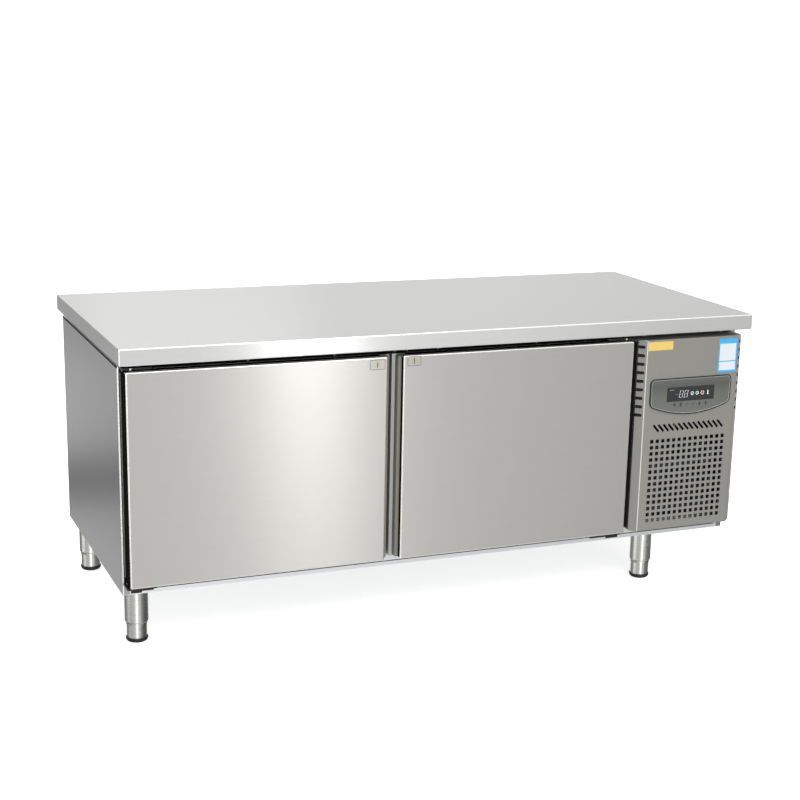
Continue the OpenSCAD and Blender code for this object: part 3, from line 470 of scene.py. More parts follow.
def pattern(tree, scale, on_map=False, kind="ShaderNodeTexNoise", **values):
    """A texture read on the piece's own grain map, or along its object's axes."""
    if on_map:
        source = add(tree, "ShaderNodeUVMap", uv_map=GRAIN).outputs["UV"]
    else:
        source = add(tree, "ShaderNodeTexCoord").outputs["Object"]
    spot = add(tree, "ShaderNodeMapping", {"Vector": source}, {"Scale": scale})
    return add(tree, kind, {"Vector": spot.outputs["Vector"]}, {"Scale": 1.0, **values})


def new_finish(name, stops, rough, scale, detail=2, grit=0.5, cells=None, on_map=False,
               relief=0.0, **inputs):
    """A material whose colour follows a pattern, as its roughness does where that has two values.
    The pattern is noise, or cells by their distance or tone. Relief is its height in mm."""
    material = bpy.data.materials.new(name)
    material.use_nodes = True
    tree = material.node_tree
    shader = tree.nodes["Principled BSDF"]
    if cells:
        texture = pattern(tree, scale, on_map, "ShaderNodeTexVoronoi")
    else:
        texture = pattern(tree, scale, on_map, Detail=detail, Roughness=grit)
    level = texture.outputs[0]
    if cells == "tone":
        level = add(tree, "ShaderNodeSeparateColor", {"Color": texture.outputs["Color"]}).outputs[0]
    ramp = add(tree, "ShaderNodeValToRGB", {"Fac": level}, stops=stops)
    tree.links.new(ramp.outputs["Color"], shader.inputs["Base Color"])
    if isinstance(rough, tuple):
        spread = add(
            tree, "ShaderNodeMapRange", {"Value": level}, {"To Min": rough[0], "To Max": rough[1]}
        )
        tree.links.new(spread.outputs["Result"], shader.inputs["Roughness"])
    else:
        inputs["Roughness"] = rough
    for socket, value in inputs.items():
        shader.inputs[socket.replace("_", " ")].default_value = value
    if relief:
        bump = add(tree, "ShaderNodeBump", {"Height": level}, {"Distance": relief * MM})
        tree.links.new(bump.outputs["Normal"], shader.inputs["Normal"])
    return material


def once(maker):
    """Makes a finish the first time that its name comes up, and returns the same one after."""
    def look_up(name, *rest, **settings):
        return bpy.data.materials.get(name) or maker(name, *rest, **settings)
    return look_up


@once
def brushed_steel(name, tone, rough, line=1.6 * MM, on_map=True, stretch=0.95):
    """Stainless steel ground with a belt: fine parallel scratches draw every highlight out
    across them, and the sheet is never quite flat. The scratches are a tenth of a millimetre
    apart; they are drawn about 1.6 mm apart so that they show."""
    reach = 120 * MM
    material = new_finish(
        name, shades(tone, (0.25, 0.96), (0.75, 1.03)), (rough - 0.03, rough + 0.03),
        (1 / reach, 1 / line, 1 / line), 3, 0.7, on_map=on_map, Metallic=1.0,
    )
    tree = material.node_tree
    shader = tree.nodes["Principled BSDF"]
    cloud = pattern(tree, (3, 3, 3), on_map, Detail=2, Roughness=0.5)
    bump = add(
        tree, "ShaderNodeBump", {"Height": cloud.outputs[0]},
        {"Distance": 1.2 * MM, "Strength": 0.35},
    )
    tree.links.new(bump.outputs["Normal"], shader.inputs["Normal"])
    if on_map:
        shader.inputs["Anisotropic"].default_value = stretch
        shader.inputs["Anisotropic Rotation"].default_value = 0.25
        tangent = add(tree, "ShaderNodeTangent", direction_type="UV_MAP", uv_map=GRAIN)
        tree.links.new(tangent.outputs["Tangent"], shader.inputs["Tangent"])
    return material


@once
def polished_steel(name, tone, rough):
    """Drawn and buffed stainless tube: clear soft reflections with a faint cloudiness."""
    return new_finish(
        name, shades(tone, (0.3, 0.92), (0.7, 1.05)), (rough - 0.05, rough + 0.05),
        (60, 60, 400), 3, 0.6, Metallic=1.0,
    )


@once
def galvanised(name):
    """Hot-dip zinc on steel: flat crystals about 12 mm across, each with its own tone."""
    return new_finish(
        name, shades("#AEB3B5", (0.0, 0.82), (1.0, 1.08)), (0.34, 0.52), (85, 85, 85),
        cells="tone", Metallic=0.9,
    )


@once
def plastic(name, tone, rough=0.45, grit=1.2, depth=0.06, ior=1.5):
    """Moulded plastic: an even tone with a spark-eroded texture that breaks up the gloss. The
    size and depth of the texture are in mm."""
    return new_finish(
        name, shades(tone, (0.3, 0.85), (0.7, 1.15)), (rough - 0.08, rough + 0.08),
        (1 / (grit * MM),) * 3, 2, 0.6, relief=depth, IOR=ior,
    )


@once
def board_darkened_for_shade(name):
    """Film-faced plywood: long wandering grain lines that show faintly through a dark film, made
    nearly black to paint the shade under the worktop.
    """
    stops = [(0.3, linear("#22201C")), (0.55, linear("#2D2A25")), (0.8, linear("#37342E"))]
    return new_finish(name, stops, 0.8, (6, 160, 160), 5, 0.6, relief=0.3)


@once
def rigid_foam(name):
    """Poured polyurethane foam: a dull yellow skin with cells about a millimetre across."""
    stops = [(0.0, linear("#B99C57")), (0.7, linear("#DCC88D"))]
    return new_finish(name, stops, 0.9, (700, 700, 700), cells="distance", relief=0.4)


@once
def printed(name, tone, rough=0.5, coat=0.0):
    """Ink on film or paper: a flat tone with a slight mottle."""
    return new_finish(
        name, shades(tone, (0.2, 0.96), (0.8, 1.04)), rough, (900, 900, 900), 1, Coat_Weight=coat
    )


@once
def lit(name, tone):
    """The display's segments, which glow a little behind the window."""
    return new_finish(
        name, shades(tone, (0.2, 0.95), (0.8, 1.0)), 0.4, (600, 600, 600), 1,
        Emission_Color=linear(tone), Emission_Strength=0.25,
    )


@once
def film_with_painted_shade(name):
    """Brushed metal film with painted shade and highlight: lighter towards the foot of the panel,
    darker near its top and a little lighter again along the top edge.
    """
    tone = colours().face_plate
    material = brushed_steel(name, tone, 0.42)
    tree = material.node_tree
    low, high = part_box("panel_bezel")
    spot = add(tree, "ShaderNodeTexCoord").outputs["Object"]
    parts = add(tree, "ShaderNodeSeparateXYZ", {"Vector": spot})
    height = add(
        tree, "ShaderNodeMapRange", {"Value": parts.outputs["Z"]},
        {"From Min": low.z, "From Max": high.z},
    )
    # Painted shade and highlight over the panel's height
    ramp = add(
        tree, "ShaderNodeValToRGB", {"Fac": height.outputs["Result"]},
        stops=shades(tone, (0.0, 1.1), (0.45, 1.0), (0.8, 0.75), (1.0, 0.95)),
    )
    tree.links.new(ramp.outputs["Color"], tree.nodes["Principled BSDF"].inputs["Base Color"])
    return material


def panel_steel():
    return brushed_steel("panel brushed steel", colours().side, 0.2, stretch=0.3)


def fold_steel_with_painted_highlight():
    """The bend lines, which the press brake and the final buffing leave smoother than the sheet;
    their near white tone is a painted highlight along every fold.
    """
    return polished_steel("buffed fold with painted highlight", "#FBFBFA", 0.22)


def leg_steel():
    return polished_steel("leg polished steel", colours().leg, 0.24)


def bright_steel():
    return polished_steel("bright zinc-plated steel", "#DEDFE0", 0.16)


def black_plastic():
    return plastic("black ABS", "#121212")


def shade_black_foam():
    """Closed-cell foam tape, matt and nearly black, laid in gaps and behind slots where it paints
    the shade that falls there.
    """
    return plastic("black foam painting shade", "#060606", 0.85, 1.5)


def seal_rubber():
    """Matt black rubber, dull even where it is seen edge on."""
    return plastic("matt black rubber", "#070707", 0.9, 1.5, ior=1.12)


def profile_pvc():
    """Olive grey PVC, extruded, on the opening side of each door, and beside the frame in strips
    that paint the shade which the doors cast on the side panels' folds.
    """
    return plastic("olive grey PVC", "#6A695F", 0.5)


def black_enamel():
    """Stoved black enamel on steel."""
    return plastic("black enamel", "#0B0B0C", 0.3, 3, 0.03)


def dark_print():
    return printed("dark print", "#1C1F1E")


# Pieces


class FridgeOperator:
    bl_options = {"REGISTER", "UNDO"}


class FRIDGE_OT_worktop(FridgeOperator, bpy.types.Operator):
    """Folds the worktop's tray and finishes the board inside it"""

    bl_idname = "fridge.worktop"
    bl_label = "Worktop"

    def execute(self, context):
        size = sizes()
        tray = start_box("worktop_tray", *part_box("worktop_skin"))
        pick(tray, "FACE", facing(DOWN))
        bpy.ops.mesh.inset(thickness=size.top_lip)
        bpy.ops.mesh.delete(type="FACE")
        round_edges(tray, size.top_radius, 4)
        thicken(tray, size.top_sheet)
        steel = brushed_steel("worktop brushed steel", colours().worktop, 0.22)
        place(
            tray, "cabinet", steel, ["worktop_skin"], grain=RIGHT,
            folds=fold_steel_with_painted_highlight(),
        )
        # The folds at the short ends keep the worktop's own steel, so the painted highlight runs
        # only along the long folds
        for face in tray.data.polygons:
            if abs(face.normal.x) > 0.3:
                face.material_index = 0
        dress(board_darkened_for_shade("sealed board darkened for shade"), "worktop_core")
        return {"FINISHED"}


class FRIDGE_OT_shell(FridgeOperator, bpy.types.Operator):
    """Folds the two side panels and finishes the frame, back and underside"""

    bl_idname = "fridge.shell"
    bl_label = "Side panels and frame"

    def side_panels(self):
        size = sizes()
        low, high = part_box("side_panel_left")
        high.x = low.x + size.side_fold
        panel = start_box("side_panel_left_sheet", low, high)
        open_side(panel, RIGHT)
        pick(panel, "VERT", lambda v: v.co.x > high.x - MM and v.co.y < low.y + MM)
        bpy.ops.transform.translate(value=(size.front_fold - size.side_fold, 0, 0))
        round_edges(
            panel, size.side_radius, 6,
            lambda e: centre_of(e).x < low.x + NEAR and centre_of(e).y < low.y + NEAR
            and span(e).z > MM,
        )
        round_edges(panel, size.fold_radius / 2, 3, lambda e: sharp(e) and not e.is_boundary)
        thicken(panel, size.sheet)
        twin = mirrored(panel, "side_panel_right_sheet", 0)
        for piece, side in ((panel, "left"), (twin, "right")):
            place(
                piece, "cabinet", panel_steel(), [f"side_panel_{side}"],
                grain=BACK, folds=fold_steel_with_painted_highlight(),
            )

    def frame_trim(self):
        """Dark foam and PVC strips that paint the shade in the front frame's gaps and under the
        worktop's lip, and a pale strip on the mullion's face that paints a reflection.
        """
        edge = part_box("front_frame")[1].x / MM - 1
        # Black strips of painted shade: along the gap above the doors, a shadow line on the toe
        # rail, the gap beside the mullion, and under the worktop's lip at each side
        shade_tapes = [
            start_plate(f"tape_{name}", x, z, FRAME_Y, depth)
            for name, x, z, depth in (
                ("top", (-edge, edge), (737, 744.8), 1),
                ("toe", (-edge, edge - 8), (163, 165), 0.6),
                ("gap", (-178, -171.4), (186, 736), 0.6),
            )
        ]
        shade_tapes += [
            start_box(
                f"tape_under_lip_{x}", Vector((x, -331, 739)) * MM,
                Vector((x + 0.6, 370, 744.8)) * MM,
            )
            for x in (-890.6, 890)
        ]
        place(join("frame_shade_tapes", shade_tapes), "cabinet", shade_black_foam())
        # Olive strips beside each side panel's front fold: painted shade from the doors
        strips = [
            start_plate(f"strip_{x[0]}", x, (190, 738), FRAME_Y, 1)
            for x in ((-883.5, -872.3), (872.3, 883.5))
        ]
        place(join("frame_shade_strips", strips), "cabinet", profile_pvc())
        mullion = start_plate("mullion_painted_reflection", (-194, -178), (186, 736), FRAME_Y, 0.4)
        # Extruded PVC, an even, half matt light grey: a painted reflection, for the light that the
        # frame's steel mirrors between the doors
        pale = plastic("light grey PVC painting reflection", "#B4B7BB", 0.5)
        place(mullion, "cabinet", pale)

    def execute(self, context):
        self.side_panels()
        self.frame_trim()
        steel = brushed_steel("frame brushed steel", colours().frame, 0.36, on_map=False)
        dress(steel, "front_frame")
        dress(
            galvanised("galvanised sheet"), "back_panel", "bottom_panel", "machine_base",
            "rear_grille", "leg_plates", "fan_shroud",
        )
        dress(rigid_foam("rigid foam"), "cabinet_insulation")
        return {"FINISHED"}


class FRIDGE_OT_doors(FridgeOperator, bpy.types.Operator):
    """Folds the door skins, rounds the inner pans and profiles the gaskets"""

    bl_idname = "fridge.doors"
    bl_label = "Doors"

    OVERLAP = 2.5 * MM  # how far the right door reaches over its hinge side
    GRIP_BACK = -339 * MM
    HINGE_SHADE_TAPE_BACK = -342 * MM

    def sheets(self, body, low, high):
        """The folded skin, and the pan behind it."""
        size = sizes()
        skin = start_box(f"{body}_front", low, high)
        open_side(skin, BACK)
        round_edges(skin, size.fold_radius, 3)
        thicken(skin, size.sheet)
        steel = brushed_steel("door brushed steel", colours().door, 0.33)
        place(skin, body, steel, [f"{body}_skin"], grain=RIGHT, folds=fold_steel_with_painted_highlight())
        pan = softened_node(f"{body}_pan", f"{body}_inner_pan", 0.9 * MM, 3)
        steel = brushed_steel("pan brushed steel", "#B9BAB9", 0.36)
        place(pan, body, steel, [f"{body}_pan"], grain=(0, 0, 1))
        dress(rigid_foam("rigid foam"), f"{body}_foam")

    def seals(self, body):
        """The profile round the door's back, and the gasket on it."""
        rim = softened_node(f"{body}_rim", f"{body}_profile", 0.4 * MM)
        place(rim, body, seal_rubber(), [f"{body}_rim"])
        gasket = softened_node(f"{body}_gasket", f"{body}_seal", 3 * MM, 3)
        # Soft extruded PVC: matt dark grey, with faint wide highlights
        soft = plastic("gasket PVC", "#5C5D5F", 0.6, 2)
        place(gasket, body, soft, [f"{body}_gasket"])

    def edges(self, body, low, high):
        """The grip profile on the opening side, and a black strip on each upright edge that paints
        the shade on the door's side return.
        """
        opens_right = body == "door_left"
        hinge_x, grip_x = (low.x, high.x) if opens_right else (high.x, low.x)
        way = MM if opens_right else -MM
        left, right = sorted((grip_x + 10.2 * way, grip_x - 11 * way))
        grip = start_box(
            f"{body}_grip", (left, high.y - 0.2 * MM, low.z + 2 * MM),
            (right, self.GRIP_BACK, high.z - 2 * MM),
        )
        soften(grip, 5 * MM, 4)
        place(grip, body, profile_pvc())
        # Matt black rubber along each side return: painted shade
        half = 0.45 * MM
        shade_tapes = [
            start_box(
                f"{body}_edge_{x}", (x - half, low.y + 3.4 * MM, low.z + 4 * MM),
                (x + half, behind, high.z - 4 * MM),
            )
            for x, behind in ((hinge_x, self.HINGE_SHADE_TAPE_BACK), (grip_x, high.y - 0.3 * MM))
        ]
        place(join(f"{body}_edge_shade_tapes", shade_tapes), body, seal_rubber())

    def execute(self, context):
        for side in SIDES:
            body = f"door_{side}"
            low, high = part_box(f"{body}_skin")
            if side == "right":
                high.x += self.OVERLAP
            self.sheets(body, low, high)
            self.seals(body)
            self.edges(body, low, high)
        return {"FINISHED"}


class FRIDGE_OT_hinges(FridgeOperator, bpy.types.Operator):
    """Rounds the hinge brackets and their pins"""

    bl_idname = "fridge.hinges"
    bl_label = "Hinges"

    # The left and right of each plate on the lower rail, and its foot, in mm
    FEET = (((-869, -841), 155), ((-841, -811), 159), ((448, 500), 160.5), ((500, 538), 156))
    FEET_TOP = 166

    def execute(self, context):
        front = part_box("hinge_brackets")[0].y
        brackets = merged_node("hinge_brackets", "hinge_plates")
        round_edges(
            brackets, 9 * MM, 6,
            lambda e: sharp(e) and centre_of(e).y < front + NEAR and span(e).z > 3 * MM,
        )
        soften(brackets, 0.5 * MM)
        place(brackets, "cabinet", black_enamel(), ["hinge_brackets"])
        screw_row("pivot_screws", (-868, 504), front, 746.2, 2.9)
        feet = [
            start_plate(f"foot_{x[0]}", x, (foot, self.FEET_TOP), FRAME_Y, 1.4, 0.1)
            for x, foot in self.FEET
        ]
        place(join("hinge_feet", feet), "cabinet", black_enamel())
        pins = softened_node("hinge_pins", "pivot_pins", 0.8 * MM)
        place(pins, "cabinet", bright_steel(), ["hinge_pins"])
        return {"FINISHED"}


class FRIDGE_OT_cover(FridgeOperator, bpy.types.Operator):
    """Bends the machine cover and punches its grille and slots"""

    bl_idname = "fridge.cover"
    bl_label = "Machine cover"

    HOLES = 14
    GRILLE_DROP = 290.5 * MM  # from the cover's top to the middle of the first row of holes
    SLANT_DROP = 253 * MM  # and to the middle of the slanted slots
    SLANT_PITCH = 16.2 * MM
    SLANT_HALF = (3.3 * MM, 14 * MM)
    SLANT_TURN = math.radians(-42)
    SLOTS = 9
    SLOT_PITCH = 24.2 * MM

    def extents(self):
        """The corners of the cover, which is centred on its display."""
        low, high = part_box("machine_cover")
        window_low, window_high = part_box("display_window")
        middle = (window_low.x + window_high.x) / 2
        low.x, high.x = middle - sizes().cover_width / 2, middle + sizes().cover_width / 2
        return low, high, middle

    def grille_punch(self, low, high, middle):
        """Cutters for the square holes and for the slanted slots above them."""
        pitch, half, steps = sizes().hole_pitch, sizes().hole / 2, (self.HOLES - 1) / 2
        front, behind = low.y - 3 * MM, low.y + 4 * MM
        x, z = middle - steps * pitch, high.z - self.GRILLE_DROP
        hole = start_box("hole_punch", (x - half, front, z - half), (x + half, behind, z + half))
        repeat(hole, self.HOLES, (pitch, 0, 0))
        repeat(hole, self.HOLES, (0, 0, -pitch))
        wide, tall = self.SLANT_HALF
        slant = start_box("slant_punch", (-wide, front, -tall), (wide, behind, tall))
        spot = (middle - steps * self.SLANT_PITCH, 0, high.z - self.SLANT_DROP)
        slant.data.transform(Matrix.Translation(spot) @ Matrix.Rotation(self.SLANT_TURN, 4, "Y"))
        repeat(slant, self.HOLES, (self.SLANT_PITCH, 0, 0))
        return [hole, slant]

    def side_punch(self, low, high):
        """Cutters for the level slots in both bevels, and for the controller's housing."""
        reach = sizes().bevel_width - 4.5 * MM
        front, top, foot = low.y - 2 * MM, high.z - 14.5 * MM, high.z - 23.5 * MM
        cutters = []
        for x0, x1 in ((low.x - 2 * MM, low.x + reach), (high.x - reach, high.x - 5 * MM)):
            slot = start_box("side_punch", (x0, front, foot), (x1, low.y + 34 * MM, top))
            round_edges(slot, 2.6 * MM, 4, lambda e: span(e).y > MM)
            repeat(slot, self.SLOTS, (0, 0, -self.SLOT_PITCH))
            cutters.append(slot)
        start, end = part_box("controller_housing")
        start, end = start + Vector((3, 0, 8)) * MM, end - Vector((3, 0, 8)) * MM
        start.y, end.y = front, low.y + 4 * MM
        return [*cutters, start_box("housing_punch", start, end)]

    def sheet(self, low, high, middle):
        size = sizes()
        cover = start_box("machine_cover_sheet", low, high)
        slice_at(cover, (low.x + size.bevel_width, high.x - size.bevel_width))
        pick(
            cover, "VERT",
            lambda v: v.co.y < low.y + MM and not low.x + MM <= v.co.x <= high.x - MM,
        )
        bpy.ops.transform.translate(value=(0, size.bevel_depth, 0))
        open_side(cover, BACK)
        round_edges(
            cover, size.cover_corner, 4,
            lambda e: max(span(e).x, span(e).z) < MM
            and not low.x + MM < centre_of(e).x < high.x - MM,
        )
        round_edges(cover, 0.6 * size.fold_radius, 3, lambda e: sharp(e) and not e.is_boundary)
        thicken(cover, size.sheet)
        cutters = self.grille_punch(low, high, middle) + self.side_punch(low, high)
        cut(cover, join("cover_punch", cutters))
        steel = brushed_steel("cover brushed steel", colours().cover, 0.4)
        place(cover, "cabinet", steel, ["machine_cover"], grain=RIGHT)

    def execute(self, context):
        size = sizes()
        low, high, middle = self.extents()
        self.sheet(low, high, middle)
        angle = math.atan2(size.bevel_depth, size.bevel_width)
        half = math.hypot(size.bevel_width, size.bevel_depth) / 2
        # Black foam behind each bevel's slots, which paints the shade seen through them
        liner = start_box(
            "slot_shade_liner", (2 * MM - half, 2.4 * MM, high.z - 230 * MM),
            (half, 3.2 * MM, high.z - 6 * MM),
        )
        spot = Vector((low.x + size.bevel_width / 2, low.y + size.bevel_depth / 2, 0))
        liner.data.transform(Matrix.Translation(spot) @ Matrix.Rotation(-angle, 4, "Z"))
        liners = [liner, mirrored(liner, "slot_shade_liner_right", middle)]
        place(join("slot_shade_liners", liners), "cabinet", shade_black_foam())
        # Black foam on the cover's left wall, which paints the shade in the gap beside the right
        # door
        front = low.y + size.bevel_depth + 2 * MM
        tape = start_box(
            "cover_gap_shade_tape", (low.x - 1.2 * MM, front, low.z + 8 * MM),
            (low.x - 0.05 * MM, high.y - MM, high.z - 8 * MM),
        )
        place(tape, "cabinet", shade_black_foam())
        return {"FINISHED"}


class FRIDGE_OT_panel(FridgeOperator, bpy.types.Operator):
    """Builds the control panel: bezel, face plate, window and lit segments"""

    bl_idname = "fridge.panel"
    bl_label = "Control panel"

    COLUMNS = 14
    BOW = 28 * MM
    CORNER = 13 * MM
    BACK_Y = OVERLAY_Y + 1.48 * MM
    LIT_Y = OVERLAY_Y - 0.75 * MM
    LEAN, GAP, STROKE = 0.16, 0.1, 2.7
    SEGMENTS = (
        (0, 2, 1, 2), (1, 2, 1, 1), (1, 1, 1, 0), (0, 0, 1, 0), (0, 0, 0, 1), (0, 1, 0, 2),
        (0, 1, 1, 1),
    )
    FIGURES, FANS, COOLING = (0, 16), (43, 59), 76  # in mm from the first figure
    MINUS, BULB = (-12, 0, -6, 0, 2), ((94, -4, 94, 5, 2), (92.5, -5, 95.5, -5, 4))

    def outline(self, name, inset, front):
        """A slab with the panel's outline: square above, bowed below, with round corners."""
        low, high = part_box("panel_bezel")
        x0, x1 = low.x + inset, high.x - inset
        foot, bow = low.z + self.BOW + 0.6 * inset, self.BOW - 0.4 * inset
        middle, half = (x0 + x1) / 2, (x1 - x0) / 2
        slab = start_box(name, (x0, front, foot), (x1, self.BACK_Y, high.z - inset))
        columns = [x0 + (x1 - x0) * step / self.COLUMNS for step in range(1, self.COLUMNS)]
        slice_at(slab, columns)
        for x in columns:
            pick(slab, "VERT", lambda v: abs(v.co.x - x) < NEAR and v.co.z < foot + NEAR)
            bpy.ops.transform.translate(value=(0, 0, -bow * (1 - ((x - middle) / half) ** 2)))
        round_edges(
            slab, self.CORNER - 0.6 * inset, 6,
            lambda e: span(e).y > NEAR and min(centre_of(e).x - x0, x1 - centre_of(e).x) < NEAR,
        )
        return slab

    def rim(self, name, inset, width, depth, radius):
        """A ring that follows the panel's outline; all in mm."""
        slab = self.outline(name, inset * MM, self.BACK_Y - depth * MM)
        ring = hollow_out(slab, width * MM)
        soften(ring, radius * MM)
        return ring

    def digit(self, left):
        """The bars of a leaning seven-segment figure, by its left side in mm."""
        step = sizes().digit_height / 2 / MM
        bars = []
        for ends in self.SEGMENTS:
            start, end = Vector(ends[:2]), Vector(ends[2:])
            gap = self.GAP * (end - start)
            spots = []
            for across, up in (start + gap, end - gap):
                spots += [left + step * (1.04 * across + self.LEAN * up), step * (up - 1)]
            bars.append((*spots, self.STROKE))
        return bars

    def display(self, low, high):
        """A minus sign, two figures, two fans, a cooling ring, a bulb and four status marks."""
        origin = (low.x + 39 * MM, (low.z + high.z) / 2)
        bars = [self.MINUS, *self.BULB]
        for left in self.FIGURES:
            bars += self.digit(left)
        for x in self.FANS:
            for angle in map(math.radians, (20, 110, 200, 290)):
                bars.append((x, 0, x + 3.2 * math.cos(angle), 3.2 * math.sin(angle), 1.3))
        top = (high.z - low.z) / 2 / MM - 8
        bars += [(x, top, x + 2, top, 1.4) for x in (-30, -26, -22, -18)]
        rings = [*((x, 5, 0.9) for x in self.FANS), (self.COOLING, 5.4, 0.8)]
        marks = sign("display_segments", origin, self.LIT_Y, bars, rings)
        place(marks, "cabinet", lit("lit segments", "#E6EDEE"))
        x, z = origin[0] + self.COOLING * MM, origin[1]
        dot = start_disc("cooling_dot", x, self.LIT_Y, z, 2.6 * MM, 0.14 * MM, 16)
        place(dot, "cabinet", lit("lit red dot", "#B8403C"))

    def execute(self, context):
        bezel = self.rim("panel_frame", 0, 3.6, 2.3, 0.5)
        # Moulded ABS with a satin skin: black, with one soft line of light along each edge
        satin = plastic("black satin ABS", "#0D0E0D", 0.5)
        place(bezel, "cabinet", satin, ["panel_bezel"])
        trim = self.rim("panel_trim", 3.5, 1, 2.1, 0.4)
        # The same in light grey, a thin pale line inside the bezel
        place(trim, "cabinet", plastic("satin grey ABS", "#A3A5A3", 0.4))
        plate = self.outline("panel_face_plate", 4 * MM, OVERLAY_Y)
        film = film_with_painted_shade("face plate film with painted shade")
        place(plate, "cabinet", film, ["panel_overlay"], grain=RIGHT)
        low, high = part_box("display_window")
        window = start_box(
            "panel_window", (low.x, OVERLAY_Y - 0.6 * MM, low.z),
            (high.x, OVERLAY_Y + 0.5 * MM, high.z),
        )
        soften(window, 0.25 * MM)
        # Cast acrylic with a smoke tint: dark and glossy, with a clear skin
        smoked = printed("smoked acrylic", "#1C2020", 0.3, 0.15)
        place(window, "cabinet", smoked, ["display_window"])
        self.display(low, high)
        # Moulded ABS: dark grey, half matt
        dress(plastic("grey ABS", "#3A3D3F"), "controller_housing")
        return {"FINISHED"}


class FRIDGE_OT_keys(FridgeOperator, bpy.types.Operator):
    """Rounds the six keys and prints a plain sign on each"""

    bl_idname = "fridge.keys"
    bl_label = "Keys"

    # Bars, each (x0, z0, x1, z1) from the key's middle, and rings by their radius, in mm
    SIGNS = {
        "power": ([(0, 1, 0, 5)], [4]),
        "set": ([(3, 0, 5, 0), (-3, 0, -5, 0), (0, 3, 0, 5), (0, -3, 0, -5),
                 (2.2, 2.2, 3.6, 3.6), (-2.2, -2.2, -3.6, -3.6), (2.2, -2.2, 3.6, -3.6),
                 (-2.2, 2.2, -3.6, 3.6)], [3.4]),
        "up": ([(-4.2, -2, 0, 2.6), (0, 2.6, 4.2, -2)], []),
        "down": ([(-4.2, 2, 0, -2.6), (0, -2.6, 4.2, 2)], []),
        "light": ([(0, -3, 0, -5), (-1.8, -5, 1.8, -5)], [3.6]),
        "defrost": ([(0, -4.6, 0, 4.6), (-4, -2.3, 4, 2.3), (-4, 2.3, 4, -2.3)], []),
    }
    INK = 1.8

    def execute(self, context):
        for key in KEYS:
            body = f"button_{key}"
            low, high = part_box(f"key_{key}")
            cap = softened_node(f"key_{key}", f"key_cap_{key}", 0.35 * MM)
            film = film_with_painted_shade("face plate film with painted shade")
            place(cap, body, film, [f"key_{key}"], grain=RIGHT)
            bars, rings = self.SIGNS[key]
            mark = sign(
                f"key_sign_{key}", ((low.x + high.x) / 2, (low.z + high.z) / 2), KEY_Y - 0.03 * MM,
                [(*ends, self.INK) for ends in bars], [(0, radius, self.INK) for radius in rings],
            )
            place(mark, body, dark_print())
        return {"FINISHED"}


class FRIDGE_OT_legs(FridgeOperator, bpy.types.Operator):
    """Turns the leg sleeves, the adjustable tubes and their pads"""

    bl_idname = "fridge.legs"
    bl_label = "Legs"

    WALL = 1.5

    def sleeve(self, name, centre):
        """A wide tube whose foot is drawn in to a rolled neck."""
        low, high = (corner.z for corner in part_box("leg_sleeves"))
        neck, outer = sizes().foot_radius + 0.35 * MM, sizes().sleeve_radius
        path = stations(low, neck, (0.4, 0), (0, 0.5), (0.3, 1.2), (5.5, 1.4), (7, 2))
        path += stations(low, outer, (8.6, -0.25), (10, 0))
        path += stations(high, outer, (0, 0), (0, -self.WALL))
        path += stations(low, outer, (10, -self.WALL))
        path += stations(low, neck, (7.5, 0.6), (5.5, 0), (0.4, 0))
        return drawn_up(name, centre, path)

    def tube(self, name, centre, low, high):
        radius = sizes().foot_radius
        path = stations(low, radius, (0, -self.WALL), (0, -0.3), (0.5, 0))
        path += stations(high, radius, (-0.5, 0), (0, -0.4), (0, -self.WALL))
        return drawn_up(name, centre, [*path, path[0]])

    def pad(self, name, centre):
        """A round foot with a plug that goes up into the tube."""
        path = stations(
            0, sizes().pad_radius, (0, -6), (0.6, -4.6), (2.4, -2.6), (4.8, -1.1), (7.6, -0.2),
            (9.6, 0), (11, -0.3), (11.9, -1.2),
        )
        plug = sizes().foot_radius - self.WALL * MM
        path += stations(0, plug, (11.9, -0.2), (27, -0.2), (28, -1.2))
        return drawn_up(name, centre, path, closed=False)

    def execute(self, context):
        # Moulded nylon: nearly black, with a dull shine
        nylon = plastic("black nylon", "#060606", 0.45)
        sleeves = []
        for corner in CORNERS:
            body = f"adjuster_{corner}"
            low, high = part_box(f"foot_tube_{corner}")
            centre = ((low.x + high.x) / 2, (low.y + high.y) / 2)
            sleeves.append(self.sleeve(f"sleeve_{corner}", centre))
            tube = self.tube(f"adjuster_tube_{corner}", centre, low.z, high.z)
            place(tube, body, leg_steel(), [f"foot_tube_{corner}"])
            pad = self.pad(f"adjuster_pad_{corner}", centre)
            place(pad, body, nylon, [f"foot_pad_{corner}"])
        sleeves = join("leg_sleeve_tubes", sleeves)
        place(sleeves, "cabinet", leg_steel(), ["leg_sleeves"])
        return {"FINISHED"}


